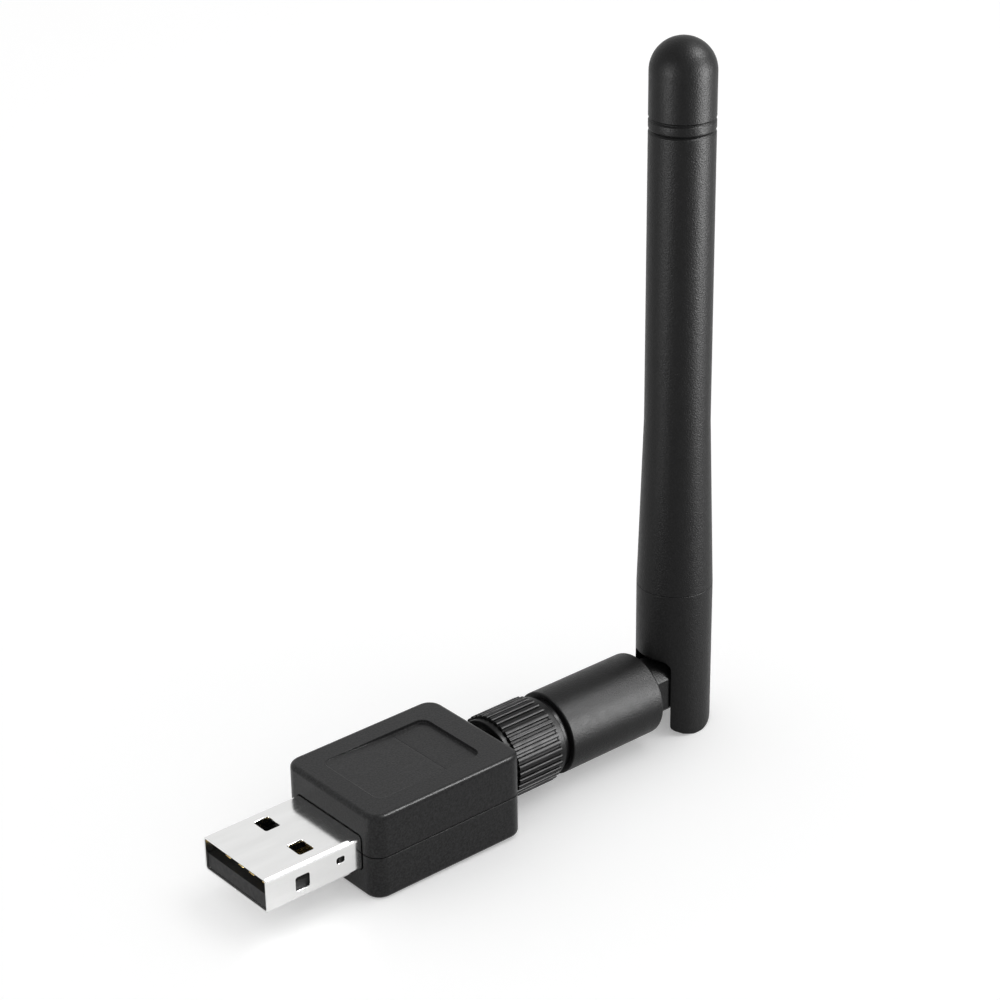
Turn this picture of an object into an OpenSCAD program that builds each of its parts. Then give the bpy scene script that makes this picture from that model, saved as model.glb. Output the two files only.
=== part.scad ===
// USB wireless adapter with a screw-on swivel antenna.
//
// Frame: the origin is where the plug's axis meets the housing's front face.
// The USB plug points to -X, and the antenna jack, nut and barrel follow on the
// same axis along +X. +Z is up. The antenna stands upright at the far end, and
// tilts about Y towards +X. The housing rests on its bottom face.

/* [Housing] */
// Length of the housing, front face to rear face
housing_length = 22; // [20:0.5:30]
// Width of the housing
housing_width = 17; // [16:0.5:22]
// Height of the housing, both halves together
housing_height = 11; // [10:0.2:14]
// Radius of the four upright corners
corner_radius = 1.9; // [1.2:0.1:3]
// Rounding of the top and bottom edges
edge_radius = 0.6; // [0.3:0.1:1]
// Thickness of the housing walls
wall = 1.4; // [1.2:0.1:1.8]
// Bevel on each half along the line where they meet
parting_bevel = 0.12; // [0.05:0.01:0.3]
// Height of the lip that locates one half in the other
lip_height = 0.8; // [0.4:0.1:1.2]
// Thickness of that lip
lip_thickness = 0.6; // [0.4:0.05:0.8]
// Gap between the lip and its rebate
lip_clearance = 0.05; // [0.03:0.01:0.15]
// Gap between the housing and what passes through its end walls
port_clearance = 0.15; // [0.05:0.05:0.3]

/* [Thumb recess] */
// Length of the recess in the top face
recess_length = 15.2; // [8:0.2:17]
// Width of the recess
recess_width = 10.8; // [6:0.2:12]
// Distance from the recess to the housing's rear face
recess_rear_margin = 3.7; // [2:0.1:6]
// Depth at the rear step
recess_depth = 0.4; // [0.2:0.05:0.6]
// Depth at the front edge
recess_front_depth = 0.06; // [0.04:0.01:0.2]
// Length of the level stretch in front of the rear step
recess_level_length = 5; // [2:0.5:8]
// Radius of the recess corners
recess_corner = 1.2; // [0.5:0.1:2]

/* [USB plug] */
// Width of the plug shell
plug_width = 12; // [11.8:0.1:12.2]
// Height of the plug shell
plug_height = 4.5; // [4.4:0.05:4.6]
// How far the plug stands out of the housing
plug_length = 13.2; // [11:0.1:19]
// Sheet thickness of the plug shell
plug_wall = 0.3; // [0.25:0.05:0.35]
// Outside corner radius of the plug shell
plug_corner = 0.55; // [0.4:0.05:0.8]
// How far the shell reaches into the housing
plug_root = 4.6; // [3:0.1:6]
// Width of each top window, across the plug
window_width = 2.45; // [2:0.05:3]
// Length of each top window
window_length = 2.05; // [1.5:0.05:3]
// Distance from the plug's tip to the windows
window_from_tip = 5.8; // [4:0.1:7]
// Distance between the centres of the two top windows
window_spread = 6.35; // [5:0.05:8]
// Length of the large side window
side_window_length = 1.95; // [1:0.05:3]
// Height of the large side window
side_window_height = 1.8; // [1:0.05:2.2]
// Height of its lower edge, from the plug's axis
side_window_z = -1; // [-1.6:0.05:0]
// Distance from the plug's tip to the large side window
side_window_from_tip = 3.95; // [2:0.05:6]
// Length of the small side window
small_window_length = 1.15; // [0.6:0.05:2]
// Height of the small side window
small_window_height = 0.8; // [0.5:0.05:1.5]
// Height of its lower edge, from the plug's axis
small_window_z = 0.05; // [-1:0.05:0.5]
// Distance from the plug's tip to the small side window
small_window_from_tip = 9.65; // [8:0.05:11]
// Thickness of the plastic tongue in the plug
tongue_thickness = 1.9; // [1.7:0.05:2.1]
// How far the tongue sits back from the plug's tip
tongue_setback = 0.3; // [0.1:0.05:1]
// Length of the plastic block that closes the back of the plug
tongue_block_length = 7.8; // [5:0.1:9]
// Gap between the tongue and the shell
tongue_clearance = 0.04; // [0.02:0.01:0.1]

/* [USB contacts] */
// Width of a contact strip
contact_width = 1; // [0.8:0.05:1.2]
// Thickness of a contact strip
contact_thickness = 0.3; // [0.2:0.05:0.4]
// How far a contact stands above the tongue
contact_proud = 0.05; // [0.02:0.01:0.1]
// How far a contact starts behind the tongue's front edge
contact_setback = 1.2; // [0.8:0.1:2]
// Distance of the two inner contacts from the middle
contact_inner_offset = 1; // [0.8:0.05:1.2]
// Distance of the two outer contacts from the middle
contact_outer_offset = 3.5; // [3:0.05:3.8]
// Length of the solder tail on the board
contact_tail = 1.8; // [1:0.1:3]
// Thickness of the riser between a contact and its tail
contact_riser = 0.3; // [0.2:0.05:0.5]
// Gap between a contact and its slot
contact_clearance = 0.02; // [0.01:0.01:0.05]

/* [Circuit board] */
// Thickness of the circuit board
board_thickness = 1; // [0.8:0.1:1.2]
// Gap between the board and the pieces at its edges
board_clearance = 0.1; // [0.05:0.05:0.3]
// Side of the square radio chip
chip_size = 5; // [4:0.5:6]
// Height of the radio chip
chip_height = 0.85; // [0.6:0.05:1.2]
// Radius of the pegs that locate the board
peg_radius = 0.5; // [0.4:0.05:0.7]
// Width of the ledges that carry the board
ledge_width = 0.9; // [0.6:0.1:1.2]

/* [Antenna jack] */
// Outside radius of the jack's threaded barrel
jack_radius = 3.15; // [3.1:0.01:3.175]
// Length of the threaded barrel behind the housing
jack_length = 6.6; // [6:0.1:9]
// How far the flange inside the housing stands out past the barrel, each side
flange_margin = 0.35; // [0.2:0.05:0.8]
// Gap between that flange and the housing, above and below
flange_gap = 0.6; // [0.3:0.05:1]
// Thickness of that flange
jack_flange_thickness = 2; // [1.5:0.1:3]
// Length of the four legs that grip the board
jack_leg_length = 3; // [2:0.1:4]
// Width and height of each leg
jack_leg = 0.9; // [0.7:0.05:1.1]
// Wall of the jack round its open mouth
mouth_wall = 0.85; // [0.8:0.01:0.9]
// How far the insulator's radius is below the mouth's
insulator_step = 0.25; // [0.2:0.05:0.4]
// Depth of that mouth
mouth_depth = 1.9; // [1.5:0.1:2.5]
// Radius of the jack's centre pin
centre_pin_radius = 0.46; // [0.4:0.01:0.5]
// How far the centre pin stands out of the insulator
centre_pin_reach = 2.5; // [2:0.1:3]

/* [Antenna nut] */
// Gap between the housing and the nut
nut_gap = 1.3; // [0.8:0.1:2.5]
// Length of the nut behind its snap ring
nut_tail = 0.84; // [0.7:0.02:1.6]
// Radius over the ribs
nut_radius = 5.45; // [5.2:0.05:6.5]
// Depth of the grooves between the ribs
rib_depth = 0.33; // [0.2:0.01:0.5]
// Number of ribs round the nut
rib_count = 36; // [24:1:48]
// Width of each groove at its mouth
groove_width = 0.42; // [0.3:0.01:0.5]
// Width of each groove at its floor
groove_floor = 0.22; // [0.1:0.01:0.3]
// Length of the plain lip at the housing end
lip_length = 0.8; // [0.5:0.1:1.5]
// Length of the plain collar at the antenna end
collar_length = 0.95; // [0.6:0.05:1.5]
// How far the lip and the collar lie below the ribs
collar_drop = 0.4; // [0.35:0.05:0.6]
// Wall of the brass core in the grip
core_wall = 0.9; // [0.7:0.05:1]
// Gap between the jack's thread and the nut's
thread_clearance = 0.05; // [0.02:0.01:0.08]

/* [Antenna connector] */
// Gap between the shoulder that the nut pulls on and the nut's bore
shoulder_gap = 0.15; // [0.1:0.01:0.25]
// Height of the shoulder above the shank, on which nut and barrel turn
shoulder_step = 0.5; // [0.4:0.01:0.6]
// Running gap round the shank
running_clearance = 0.05; // [0.02:0.01:0.08]
// Thickness of that shoulder
shoulder_thickness = 0.5; // [0.4:0.05:0.8]
// Thickness of the sealing ring in front of the shoulder
gasket_thickness = 0.35; // [0.2:0.05:0.5]
// Gap between the sealing ring and the jack's face
seal_gap = 0.05; // [0.02:0.01:0.2]
// Thickness of the snap ring that holds the nut
snap_thickness = 0.36; // [0.3:0.02:0.5]
// Opening in the snap ring
snap_opening = 1.4; // [1:0.1:2.5]
// End play of the nut and of the snap ring
end_play = 0.1; // [0.05:0.01:0.2]
// Thickness of the nut's inner web
web_thickness = 0.8; // [0.6:0.05:1.2]
// Height of the flange rolled onto the end of the shank, above the shank
tail_step = 0.75; // [0.5:0.05:1]
// Thickness of that flange
tail_thickness = 1; // [0.6:0.1:1.5]
// Outside radius of the coaxial cable
cable_radius = 0.68; // [0.5:0.01:0.7]

/* [Antenna barrel] */
// Radius of the barrel
barrel_radius = 5.25; // [5:0.05:6]
// Length of the barrel
barrel_length = 14.75; // [12:0.25:20]
// Radius of the neck between nut and barrel
neck_radius = 4.55; // [4.3:0.05:4.8]
// Length of that neck
neck_length = 0.9; // [0.5:0.05:1.5]
// Rounding at the barrel's ends
barrel_edge = 0.35; // [0.2:0.05:0.6]
// Radius of the space inside the barrel
barrel_bore = 4; // [3.8:0.05:4.2]
// Length of the bush in the barrel
bush_length = 4.15; // [3:0.05:6]
// Radius of the knuckle that the antenna turns on
knuckle_radius = 3.55; // [3.3:0.05:3.6]
// Thickness of the knuckle
knuckle_thickness = 5.9; // [5.5:0.1:6]
// Width of the cable slot in the knuckle
cable_slot = 1.9; // [1.6:0.1:2]

/* [Antenna hinge] */
// Radius of the two hinge pins
pin_radius = 1.15; // [0.9:0.05:1.3]
// Gap between a pin and its socket
pin_clearance = 0.05; // [0.02:0.01:0.08]
// How far each pin reaches into its ear
pin_reach = 0.95; // [0.6:0.05:1.1]
// Gap between the knuckle and each ear
ear_clearance = 0.25; // [0.15:0.05:0.4]
// Gap between the turning foot of the mast and the barrel
swing_clearance = 0.3; // [0.2:0.1:1.5]
// Radius of the mast's round foot about the pin
foot_reach = 6.2; // [5.5:0.1:7]
// Height of the slot above the pin
slot_rise = 4.45; // [4.2:0.05:6]
// Rounding of the slot's upper corners
slot_corner = 1.2; // [0.5:0.1:1.5]
// Thickness of the wall that closes the slot at the back
slot_back_wall = 0.9; // [0.7:0.05:1]

/* [Antenna mast] */
// Height of the antenna's tip above the pin
mast_rise = 82.5; // [60:0.5:160]
// Radius of the mast at its foot
foot_radius = 4.7; // [4.6:0.05:5.2]
// Radius of the mast above its taper
mast_radius = 4; // [3.9:0.05:4.4]
// Height of the joint between fork and sleeve above the pin
fork_rise = 13.5; // [11:0.5:18]
// Height of the top of the taper above the pin
taper_rise = 35.5; // [25:0.5:45]
// Thickness of the sleeve wall
sleeve_wall = 1.1; // [0.8:0.1:1.3]
// Length of the spigots that hold the sleeve and the cap
spigot_length = 5; // [3:0.5:8]
// Gap round the spigots
spigot_clearance = 0.05; // [0.02:0.01:0.1]
// Length of the end cap outside the sleeve
cap_length = 10.8; // [8:0.2:16]
// Radius of the cap and its dome
cap_radius = 3.95; // [3.85:0.05:4.3]
// Width of the grooves at the cap
cap_groove_width = 0.5; // [0.3:0.05:0.8]
// Depth of the grooves at the cap
cap_groove_depth = 0.25; // [0.1:0.05:0.3]
// Distance between the cap's lower edge and its groove
cap_groove_rise = 1.4; // [1:0.1:3]

/* [Radiator] */
// Length of the brass sleeve round the cable
dipole_length = 23; // [18:0.5:30]
// Outside radius of the brass sleeve
dipole_radius = 2.2; // [1.8:0.1:2.4]
// Wall of the brass sleeve
dipole_wall = 0.3; // [0.2:0.05:0.4]
// Height of the brass sleeve's foot above the fork
dipole_gap = 5.3; // [5:0.1:10]
// Radius of the bare radiator wire
wire_radius = 0.35; // [0.25:0.05:0.45]
// How far the wire reaches into the cap's spigot
wire_seat = 3; // [1:0.5:4]

/* [Hidden] */
$fn = 96;

// Room that a cut is given past the faces it goes through
past = 1;
// How far a rib, post or leg runs into the wall that carries it
rooted = 0.2;
// Gap between pieces that are pressed or glued together
press_gap = 0.02;
// Step between faces that would otherwise lie on one plane
face_step = 0.1;

// Heights in the housing, from the axis of plug and antenna
top_z = housing_height / 2;
base_z = -top_z;
shell_floor = plug_wall - plug_height / 2;
tongue_top = shell_floor + tongue_clearance + tongue_thickness;
// The jack's centre pin lies on the board
solder_film = 0.04;
board_top = -centre_pin_radius - solder_film;
board_bottom = board_top - board_thickness;

// Small lengths along the connector
block_tail = 0.2;
nose_gap = 0.2;
socket_tail = 2.4;
socket_proud = 0.4;
neck_gap = 0.15;
crimp_room = 4.5;

// Stations along X, from the plug's tip to the mast
block_rear = plug_root + block_tail;
block_front = block_rear - tongue_block_length;
board_front = block_rear + contact_riser + board_clearance;
flange_rear = housing_length - wall;
flange_front = flange_rear - jack_flange_thickness;
board_rear = flange_front - board_clearance;
jack_face = housing_length + jack_length;
mouth_floor = jack_face - mouth_depth;
pin_tip = mouth_floor + centre_pin_reach;
nut_start = housing_length + nut_gap;
gasket_front = jack_face + seal_gap;
shoulder_front = gasket_front + gasket_thickness;
shoulder_rear = shoulder_front + shoulder_thickness;
web_front = shoulder_rear + end_play;
web_rear = web_front + web_thickness;
snap_front = web_rear + end_play;
snap_rear = snap_front + snap_thickness;
nut_end = snap_rear + nut_tail;
plug_nose = mouth_floor + nose_gap;
plug_insulator_front = plug_nose + face_step;
socket_front = plug_insulator_front + face_step;
socket_rear = shoulder_rear + socket_tail;
plug_insulator_rear = socket_rear - socket_proud;
cable_start = socket_rear + face_step;
neck_front = nut_end + neck_gap;
barrel_front = neck_front + neck_length;
barrel_rear = barrel_front + barrel_length;
bush_rear = barrel_front + bush_length;
tail_front = bush_rear + end_play;
tail_rear = tail_front + tail_thickness;
cavity_rear = tail_rear + crimp_room;
pin_x = barrel_rear + swing_clearance + foot_reach;

// Heights of the mast. Its pin lies on the antenna axis, at height 0
cap_bottom = mast_rise - cap_length;
sleeve_bore = mast_radius - sleeve_wall;
dipole_bottom = fork_rise + dipole_gap;
dipole_top = dipole_bottom + dipole_length;
wire_tip = cap_bottom - spigot_length + wire_seat;

// Radii that follow from their neighbours
socket_step = 0.5;
snap_groove_depth = 0.3;
cable_play = 0.17;
nut_bore = jack_radius + thread_clearance;
core_radius = nut_bore + core_wall;
shoulder_radius = nut_bore - shoulder_gap;
shank_radius = shoulder_radius - shoulder_step;
tail_radius = shank_radius + tail_step;
running_bore = shank_radius + running_clearance;
flange_width = 2 * (jack_radius + flange_margin);
flange_height = housing_height - 2 * (wall + flange_gap);
mouth_radius = jack_radius - mouth_wall;
insulator_radius = mouth_radius - insulator_step;
collar_radius = nut_radius - collar_drop;
snap_groove_radius = shank_radius - snap_groove_depth;
nose_radius = mouth_radius - running_clearance;
cable_bore = cable_radius + cable_play;
socket_bore = sleeve_bore + socket_step;
ear_inner = knuckle_thickness / 2 + ear_clearance;
hinge_bore = pin_radius + pin_clearance;
cable_bend_gap = 0.8;

black = "#2b2b2d";
steel = "#c9cbce";
gold = "#c9a24a";
brass = "#b8954a";
black_plating = "#3c3a38";
white = "#e8e6df";

// --- helpers -------------------------------------------------------------

function arc(cx, cy, r, from, to, steps = 8) =
    [for (i = [0 : steps]) let (a = from + (to - from) * i / steps)
        [cx + r * cos(a), cy + r * sin(a)]];

// A round bar on the antenna axis from x0 to x1
module rod(x0, x1, r) {
    translate([x0, 0, 0]) rotate([0, 90, 0]) cylinder(h = x1 - x0, r = r);
}

// A round tube on the antenna axis
module tube(x0, x1, r, bore) {
    difference() {
        rod(x0, x1, r);
        rod(x0 - past, x1 + past, bore);
    }
}

// A profile of [radius, x] points turned about the antenna axis
module turned(points) {
    rotate([0, 90, 0]) rotate_extrude() polygon(points);
}

// A profile of [radius, z] points turned about the mast axis
module mast_turned(points) {
    translate([pin_x, 0, 0]) rotate_extrude() polygon(points);
}

// A round bar on the mast axis from z0 to z1
module mast_rod(z0, z1, r) {
    translate([pin_x, 0, z0]) cylinder(h = z1 - z0, r = r);
}

// A block given by its middle in Y and its lowest X and Z
module block(x0, z0, size, y = 0) {
    translate([x0, y - size[1] / 2, z0]) cube(size);
}

// A rectangle with round corners, centred
module round_rect(w, h, r) {
    square([w - 2 * r, h], center = true);
    square([w, h - 2 * r], center = true);
    for (sx = [-1, 1], sy = [-1, 1])
        translate([sx * (w / 2 - r), sy * (h / 2 - r)]) circle(r = r, $fn = 48);
}

// A bar along X with round corners, its section centred on the antenna axis
module round_bar(x0, x1, w, h, r) {
    translate([x0, 0, 0]) rotate([0, 90, 0])
        linear_extrude(height = x1 - x0) round_rect(h, w, r);
}

// --- housing -------------------------------------------------------------

// One half's outer block: four turned corner posts and what spans them.
// Points run from the parting line, at height 0, to the rounded outer face.
module housing_block(z_face) {
    up = sign(z_face);
    profile = concat(
        [[0, 0], [corner_radius - parting_bevel, 0], [corner_radius, up * parting_bevel]],
        arc(corner_radius - edge_radius, z_face - up * edge_radius, edge_radius, 0, up * 90, 6),
        [[0, z_face]]);
    hull()
        for (x = [corner_radius, housing_length - corner_radius], s = [-1, 1])
            translate([x, s * (housing_width / 2 - corner_radius), 0])
                rotate_extrude($fn = 64) polygon(profile);
}

// The space inside the walls, drawn in from them by an inset
module inner_block(inset, z0, z1) {
    block(wall - inset, z0, [housing_length - 2 * (wall - inset),
        housing_width - 2 * (wall - inset), z1 - z0]);
}

// The ports in the end walls, for the plug and for the jack
module ports() {
    round_bar(-past, wall + past, plug_width + 2 * port_clearance,
        plug_height + 2 * port_clearance, plug_corner + port_clearance);
    rod(housing_length - wall - past, housing_length + past, jack_radius + port_clearance);
}

// The thumb recess: a round-cornered outline over a floor that slopes
// down from the front and runs level to the rear step
module thumb_recess() {
    rear = housing_length - recess_rear_margin;
    front = rear - recess_length;
    crease = rear - recess_level_length;
    intersection() {
        translate([(front + rear) / 2, 0, top_z - past])
            linear_extrude(height = 2 * past) round_rect(recess_length, recess_width, recess_corner);
        translate([0, recess_width, 0]) rotate([90, 0, 0]) linear_extrude(height = 2 * recess_width)
            polygon([[front - past, top_z - recess_front_depth],
                [front, top_z - recess_front_depth], [crease, top_z - recess_depth],
                [rear + past, top_z - recess_depth], [rear + past, top_z + past],
                [front - past, top_z + past]]);
    }
}

board_width = housing_width - 2 * wall - 2 * board_clearance;
peg_x = board_front + 2.4;
peg_y = board_width / 2 - 1;
peg_proud = 0.4;
post_x = board_rear - 4.2;
post_y = board_width / 2 - 0.6;
post_length = 1.2;
post_width = 1;
ledge_margin = 0.5;

module upper_housing() {
    color(black) {
        difference() {
            housing_block(top_z);
            inner_block(0, -past, top_z - wall);
            inner_block(lip_thickness + lip_clearance, -past, lip_height + lip_clearance);
            thumb_recess();
            ports();
        }
        // Posts that press the board onto its ledges
        for (s = [-1, 1])
            block(post_x, board_top,
                [post_length, post_width, top_z - wall - board_top + rooted], s * post_y);
    }
}

module lower_housing() {
    floor_z = base_z + wall;
    color(black) difference() {
        union() {
            difference() {
                housing_block(base_z);
                inner_block(0, base_z + wall, past);
            }
            // Locating lip
            difference() {
                inner_block(lip_thickness, -lip_height, lip_height);
                inner_block(0, -past, lip_height + past);
            }
            // Ledges under the long edges of the board, and its two pegs
            for (s = [-1, 1]) {
                block(board_front + ledge_margin, floor_z - rooted,
                    [board_rear - board_front - 3 * ledge_margin, ledge_width + rooted,
                     board_bottom - floor_z + rooted],
                    s * (housing_width / 2 - wall - (ledge_width - rooted) / 2));
                translate([peg_x, s * peg_y, floor_z - rooted])
                    cylinder(h = board_bottom - floor_z + rooted, r = 2 * peg_radius);
                translate([peg_x, s * peg_y, floor_z])
                    cylinder(h = board_top - floor_z + peg_proud, r = peg_radius);
            }
        }
        ports();
    }
}

// --- USB plug ------------------------------------------------------------

module usb_shell() {
    color(steel) difference() {
        round_bar(-plug_length, plug_root, plug_width, plug_height, plug_corner);
        round_bar(-plug_length - past, plug_root + past, plug_width - 2 * plug_wall,
            plug_height - 2 * plug_wall, plug_corner - plug_wall);
        // Latch windows through the top and the bottom
        for (s = [-1, 1])
            block(window_from_tip - plug_length, -plug_height / 2 - past,
                [window_length, window_width, plug_height + 2 * past], s * window_spread / 2);
        // Windows through both sides
        block(side_window_from_tip - plug_length, side_window_z,
            [side_window_length, plug_width + 2 * past, side_window_height]);
        block(small_window_from_tip - plug_length, small_window_z,
            [small_window_length, plug_width + 2 * past, small_window_height]);
    }
}

tongue_width = plug_width - 2 * plug_wall - 2 * tongue_clearance;
tongue_front = tongue_setback - plug_length;
contact_top = tongue_top + contact_proud;
contact_bottom = contact_top - contact_thickness;

// The channel or the strip of one contact, through the tongue and its block
module contact_strip(y, extra = 0) {
    front = tongue_front + contact_setback;
    block(front - extra, contact_bottom - extra,
        [block_rear + contact_riser - front + extra, contact_width + 2 * extra,
         contact_thickness + 2 * extra], y);
}

module contact(y) {
    low = min(board_top, contact_bottom);
    high = max(board_top + contact_thickness, contact_top);
    color(gold) {
        contact_strip(y);
        // Behind the block the contact steps to the board and lies on it
        block(block_rear + contact_clearance, low,
            [contact_riser - contact_clearance, contact_width, high - low], y);
        block(block_rear + contact_riser / 2, board_top,
            [contact_riser / 2 + board_clearance + contact_tail, contact_width,
             contact_thickness], y);
    }
}

contact_places = [-contact_outer_offset, -contact_inner_offset,
    contact_inner_offset, contact_outer_offset];

module usb_tongue() {
    color(black) difference() {
        intersection() {
            round_bar(tongue_front, block_rear, tongue_width,
                plug_height - 2 * plug_wall - 2 * tongue_clearance, plug_corner - plug_wall);
            union() {
                block(tongue_front - past, -plug_height,
                    [block_rear + plug_length, plug_width, tongue_top + plug_height]);
                block(block_front, -plug_height,
                    [block_rear - block_front + past, plug_width, 2 * plug_height]);
            }
        }
        for (y = contact_places) contact_strip(y, contact_clearance);
    }
}

module usb_contact_power() { contact(-contact_outer_offset); }
module usb_contact_data_minus() { contact(-contact_inner_offset); }
module usb_contact_data_plus() { contact(contact_inner_offset); }
module usb_contact_ground() { contact(contact_outer_offset); }

// --- circuit board -------------------------------------------------------

module circuit_board() {
    color("#2f6b3c") difference() {
        block(board_front, board_bottom, [board_rear - board_front, board_width, board_thickness]);
        for (s = [-1, 1])
            translate([peg_x, s * peg_y, board_bottom - past])
                cylinder(h = board_thickness + 2 * past, r = peg_radius + lip_clearance);
    }
}

// The radio chip sits off the middle of the board, with the small chips beside it
chip_x = board_front + 3.4;
chip_y = 1.2;
small_chips_y = -chip_size / 2 - 0.4;
crystal_size = [2, 1.6, 0.6];
regulator_size = [1.6, 1.6, 1];
capacitor_size = [0.5, 1, 0.5];
capacitor_pitch = 1.2;

module radio_chip() {
    color("#1d1d1f") block(chip_x, board_top, [chip_size, chip_size, chip_height], chip_y);
}

module crystal() {
    color(steel) block(chip_x + 2.2, board_top, crystal_size, small_chips_y);
}

module voltage_regulator() {
    color("#232326") block(chip_x - 0.6, board_top, regulator_size, small_chips_y);
}

// Small two-ended chips round the radio chip, and in front of the jack's legs
module chip_capacitors() {
    by_jack = flange_front - jack_leg_length - 1.5;
    by_chip = chip_size / 2 + chip_y + 1.1;
    color("#b9a37c") {
        for (i = [0 : 3])
            block(chip_x + 0.3 + i * capacitor_pitch, board_top, capacitor_size, by_chip);
        // The two by the jack lie along X
        for (y = [-1.6, 1.6])
            block(by_jack, board_top, [capacitor_size[1], capacitor_size[0], capacitor_size[2]], y);
    }
}

// --- antenna jack --------------------------------------------------------

leg_y = flange_width / 2 - jack_leg / 2;

module jack_body() {
    color(black_plating) difference() {
        union() {
            rod(flange_rear - rooted, jack_face, jack_radius);
            block(flange_front, -flange_height / 2,
                [jack_flange_thickness, flange_width, flange_height]);
            for (s = [-1, 1], z = [board_top, board_bottom - jack_leg])
                block(flange_front - jack_leg_length, z,
                    [jack_leg_length + rooted, jack_leg, jack_leg], s * leg_y);
        }
        rod(flange_front - past, mouth_floor, insulator_radius);
        rod(mouth_floor - face_step, jack_face + past, mouth_radius);
    }
}

module jack_insulator() {
    color(white) tube(flange_front, mouth_floor - face_step, insulator_radius,
        centre_pin_radius);
}

module jack_pin() {
    nose = centre_pin_radius / 2;
    pin_rear = flange_front - jack_leg_length + 2 * face_step;
    color(gold) turned([[0, pin_rear], [centre_pin_radius, pin_rear],
        [centre_pin_radius, pin_tip - nose], [nose, pin_tip], [0, pin_tip]]);
}

// --- antenna connector ---------------------------------------------------

module plug_ferrule() {
    color(brass) turned([
        [insulator_radius, plug_nose], [nose_radius, plug_nose], [nose_radius, shoulder_front],
        [shoulder_radius, shoulder_front], [shoulder_radius, shoulder_rear],
        [shank_radius, shoulder_rear], [shank_radius, snap_front - end_play / 2],
        [snap_groove_radius, snap_front - end_play / 2],
        [snap_groove_radius, snap_rear + end_play / 2],
        [shank_radius, snap_rear + end_play / 2], [shank_radius, tail_front],
        [tail_radius, tail_front], [tail_radius, tail_rear], [cable_bore, tail_rear],
        [cable_bore, plug_insulator_rear], [insulator_radius, plug_insulator_rear]]);
}

socket_radius = 0.75;
socket_wall_gap = 0.04;
socket_reserve = 0.5;

module plug_insulator() {
    color(white) tube(plug_insulator_front, plug_insulator_rear - press_gap,
        insulator_radius - press_gap, socket_radius + press_gap);
}

module plug_socket() {
    color(gold) difference() {
        rod(socket_front, socket_rear, socket_radius);
        rod(socket_front - past, pin_tip + socket_reserve, centre_pin_radius + socket_wall_gap);
    }
}

gasket_play = 0.05;

module plug_gasket() {
    color("#3a3a3a") tube(gasket_front, shoulder_front, shoulder_radius - face_step,
        nose_radius + gasket_play);
}

module snap_ring() {
    color(steel) difference() {
        tube(snap_front, snap_rear, shoulder_radius, snap_groove_radius + running_clearance);
        // The gap in the ring, at the bottom
        block(snap_front - past, -2 * shoulder_radius,
            [snap_thickness + 2 * past, snap_opening, 2 * shoulder_radius]);
    }
}

module coax_lower() {
    color("#3b3a38") rod(cable_start, pin_x - cable_bend_gap, cable_radius);
}

// --- nut -----------------------------------------------------------------

core_front = nut_start + 0.2;
core_rear = nut_end - 0.5;
core_relief = 0.3;
grip_relief = 0.4;
// Room for the ribs' cutters past the ridges
over = 0.01;

module nut_core() {
    counterbore = shoulder_radius + core_relief;
    color(black_plating) turned([
        [nut_bore, core_front], [core_radius, core_front], [core_radius, core_rear],
        [counterbore, core_rear], [counterbore, web_rear], [running_bore, web_rear],
        [running_bore, web_front], [nut_bore, web_front]]);
}

// The ribbed section, drawn flat: a disc with evenly spaced grooves
module ribbed_disc() {
    floor_radius = nut_radius - rib_depth;
    difference() {
        circle(r = nut_radius, $fn = 144);
        for (i = [0 : rib_count - 1]) rotate(i * 360 / rib_count)
            polygon([[floor_radius, -groove_floor / 2], [nut_radius + face_step, -groove_width / 2],
                [nut_radius + face_step, groove_width / 2], [floor_radius, groove_floor / 2]]);
    }
}

module nut_grip() {
    ribs_front = nut_start + lip_length;
    ribs_rear = nut_end - collar_length;
    chamfer = nut_radius - collar_radius;
    rib_bevel = 0.15;
    grip_bore = core_radius + press_gap;
    end_bore = shoulder_radius + grip_relief;
    color(black) difference() {
        union() {
            rod(nut_start, nut_end, collar_radius);
            intersection() {
                translate([ribs_front, 0, 0]) rotate([0, 90, 0])
                    linear_extrude(height = ribs_rear - ribs_front) ribbed_disc();
                turned([[0, ribs_front], [nut_radius - rib_bevel, ribs_front],
                    [nut_radius + over, ribs_front + rib_bevel + over],
                    [nut_radius + over, ribs_rear - 1.5 * chamfer],
                    [collar_radius - face_step, ribs_rear], [0, ribs_rear]]);
            }
        }
        rod(nut_start - past, core_rear, grip_bore);
        rod(core_rear - face_step, nut_end + past, end_bore);
    }
}

// --- barrel --------------------------------------------------------------

module barrel_shell() {
    edge = barrel_edge;
    slot_floor = pin_x - knuckle_radius + 0.5;
    body = concat(
        [[0, barrel_front], [barrel_radius - edge, barrel_front]],
        arc(barrel_radius - edge, barrel_front + edge, edge, -90, 0, 4),
        arc(barrel_radius - edge, barrel_rear - edge, edge, 0, 90, 4),
        [[0, barrel_rear]]);
    knuckle = concat([[0, barrel_rear - 1], [knuckle_radius, barrel_rear - 1]],
        arc(0, pin_x, knuckle_radius, 0, 90, 14));
    color(black) difference() {
        union() {
            turned(body);
            intersection() {
                turned(knuckle);
                block(barrel_rear - 2, -2 * knuckle_radius,
                    [pin_x, knuckle_thickness, 4 * knuckle_radius]);
            }
        }
        rod(barrel_front - past, cavity_rear, barrel_bore);
        rod(cavity_rear - past, slot_floor + face_step, cable_bore);
        // Cable slot, open towards the top and the front of the knuckle
        block(slot_floor, -cable_slot / 2,
            [2 * knuckle_radius, cable_slot, 2 * knuckle_radius]);
        // Seats of the two hinge pins
        translate([pin_x, knuckle_thickness, 0]) rotate([90, 0, 0])
            cylinder(h = 2 * knuckle_thickness, r = pin_radius);
    }
}

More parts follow.
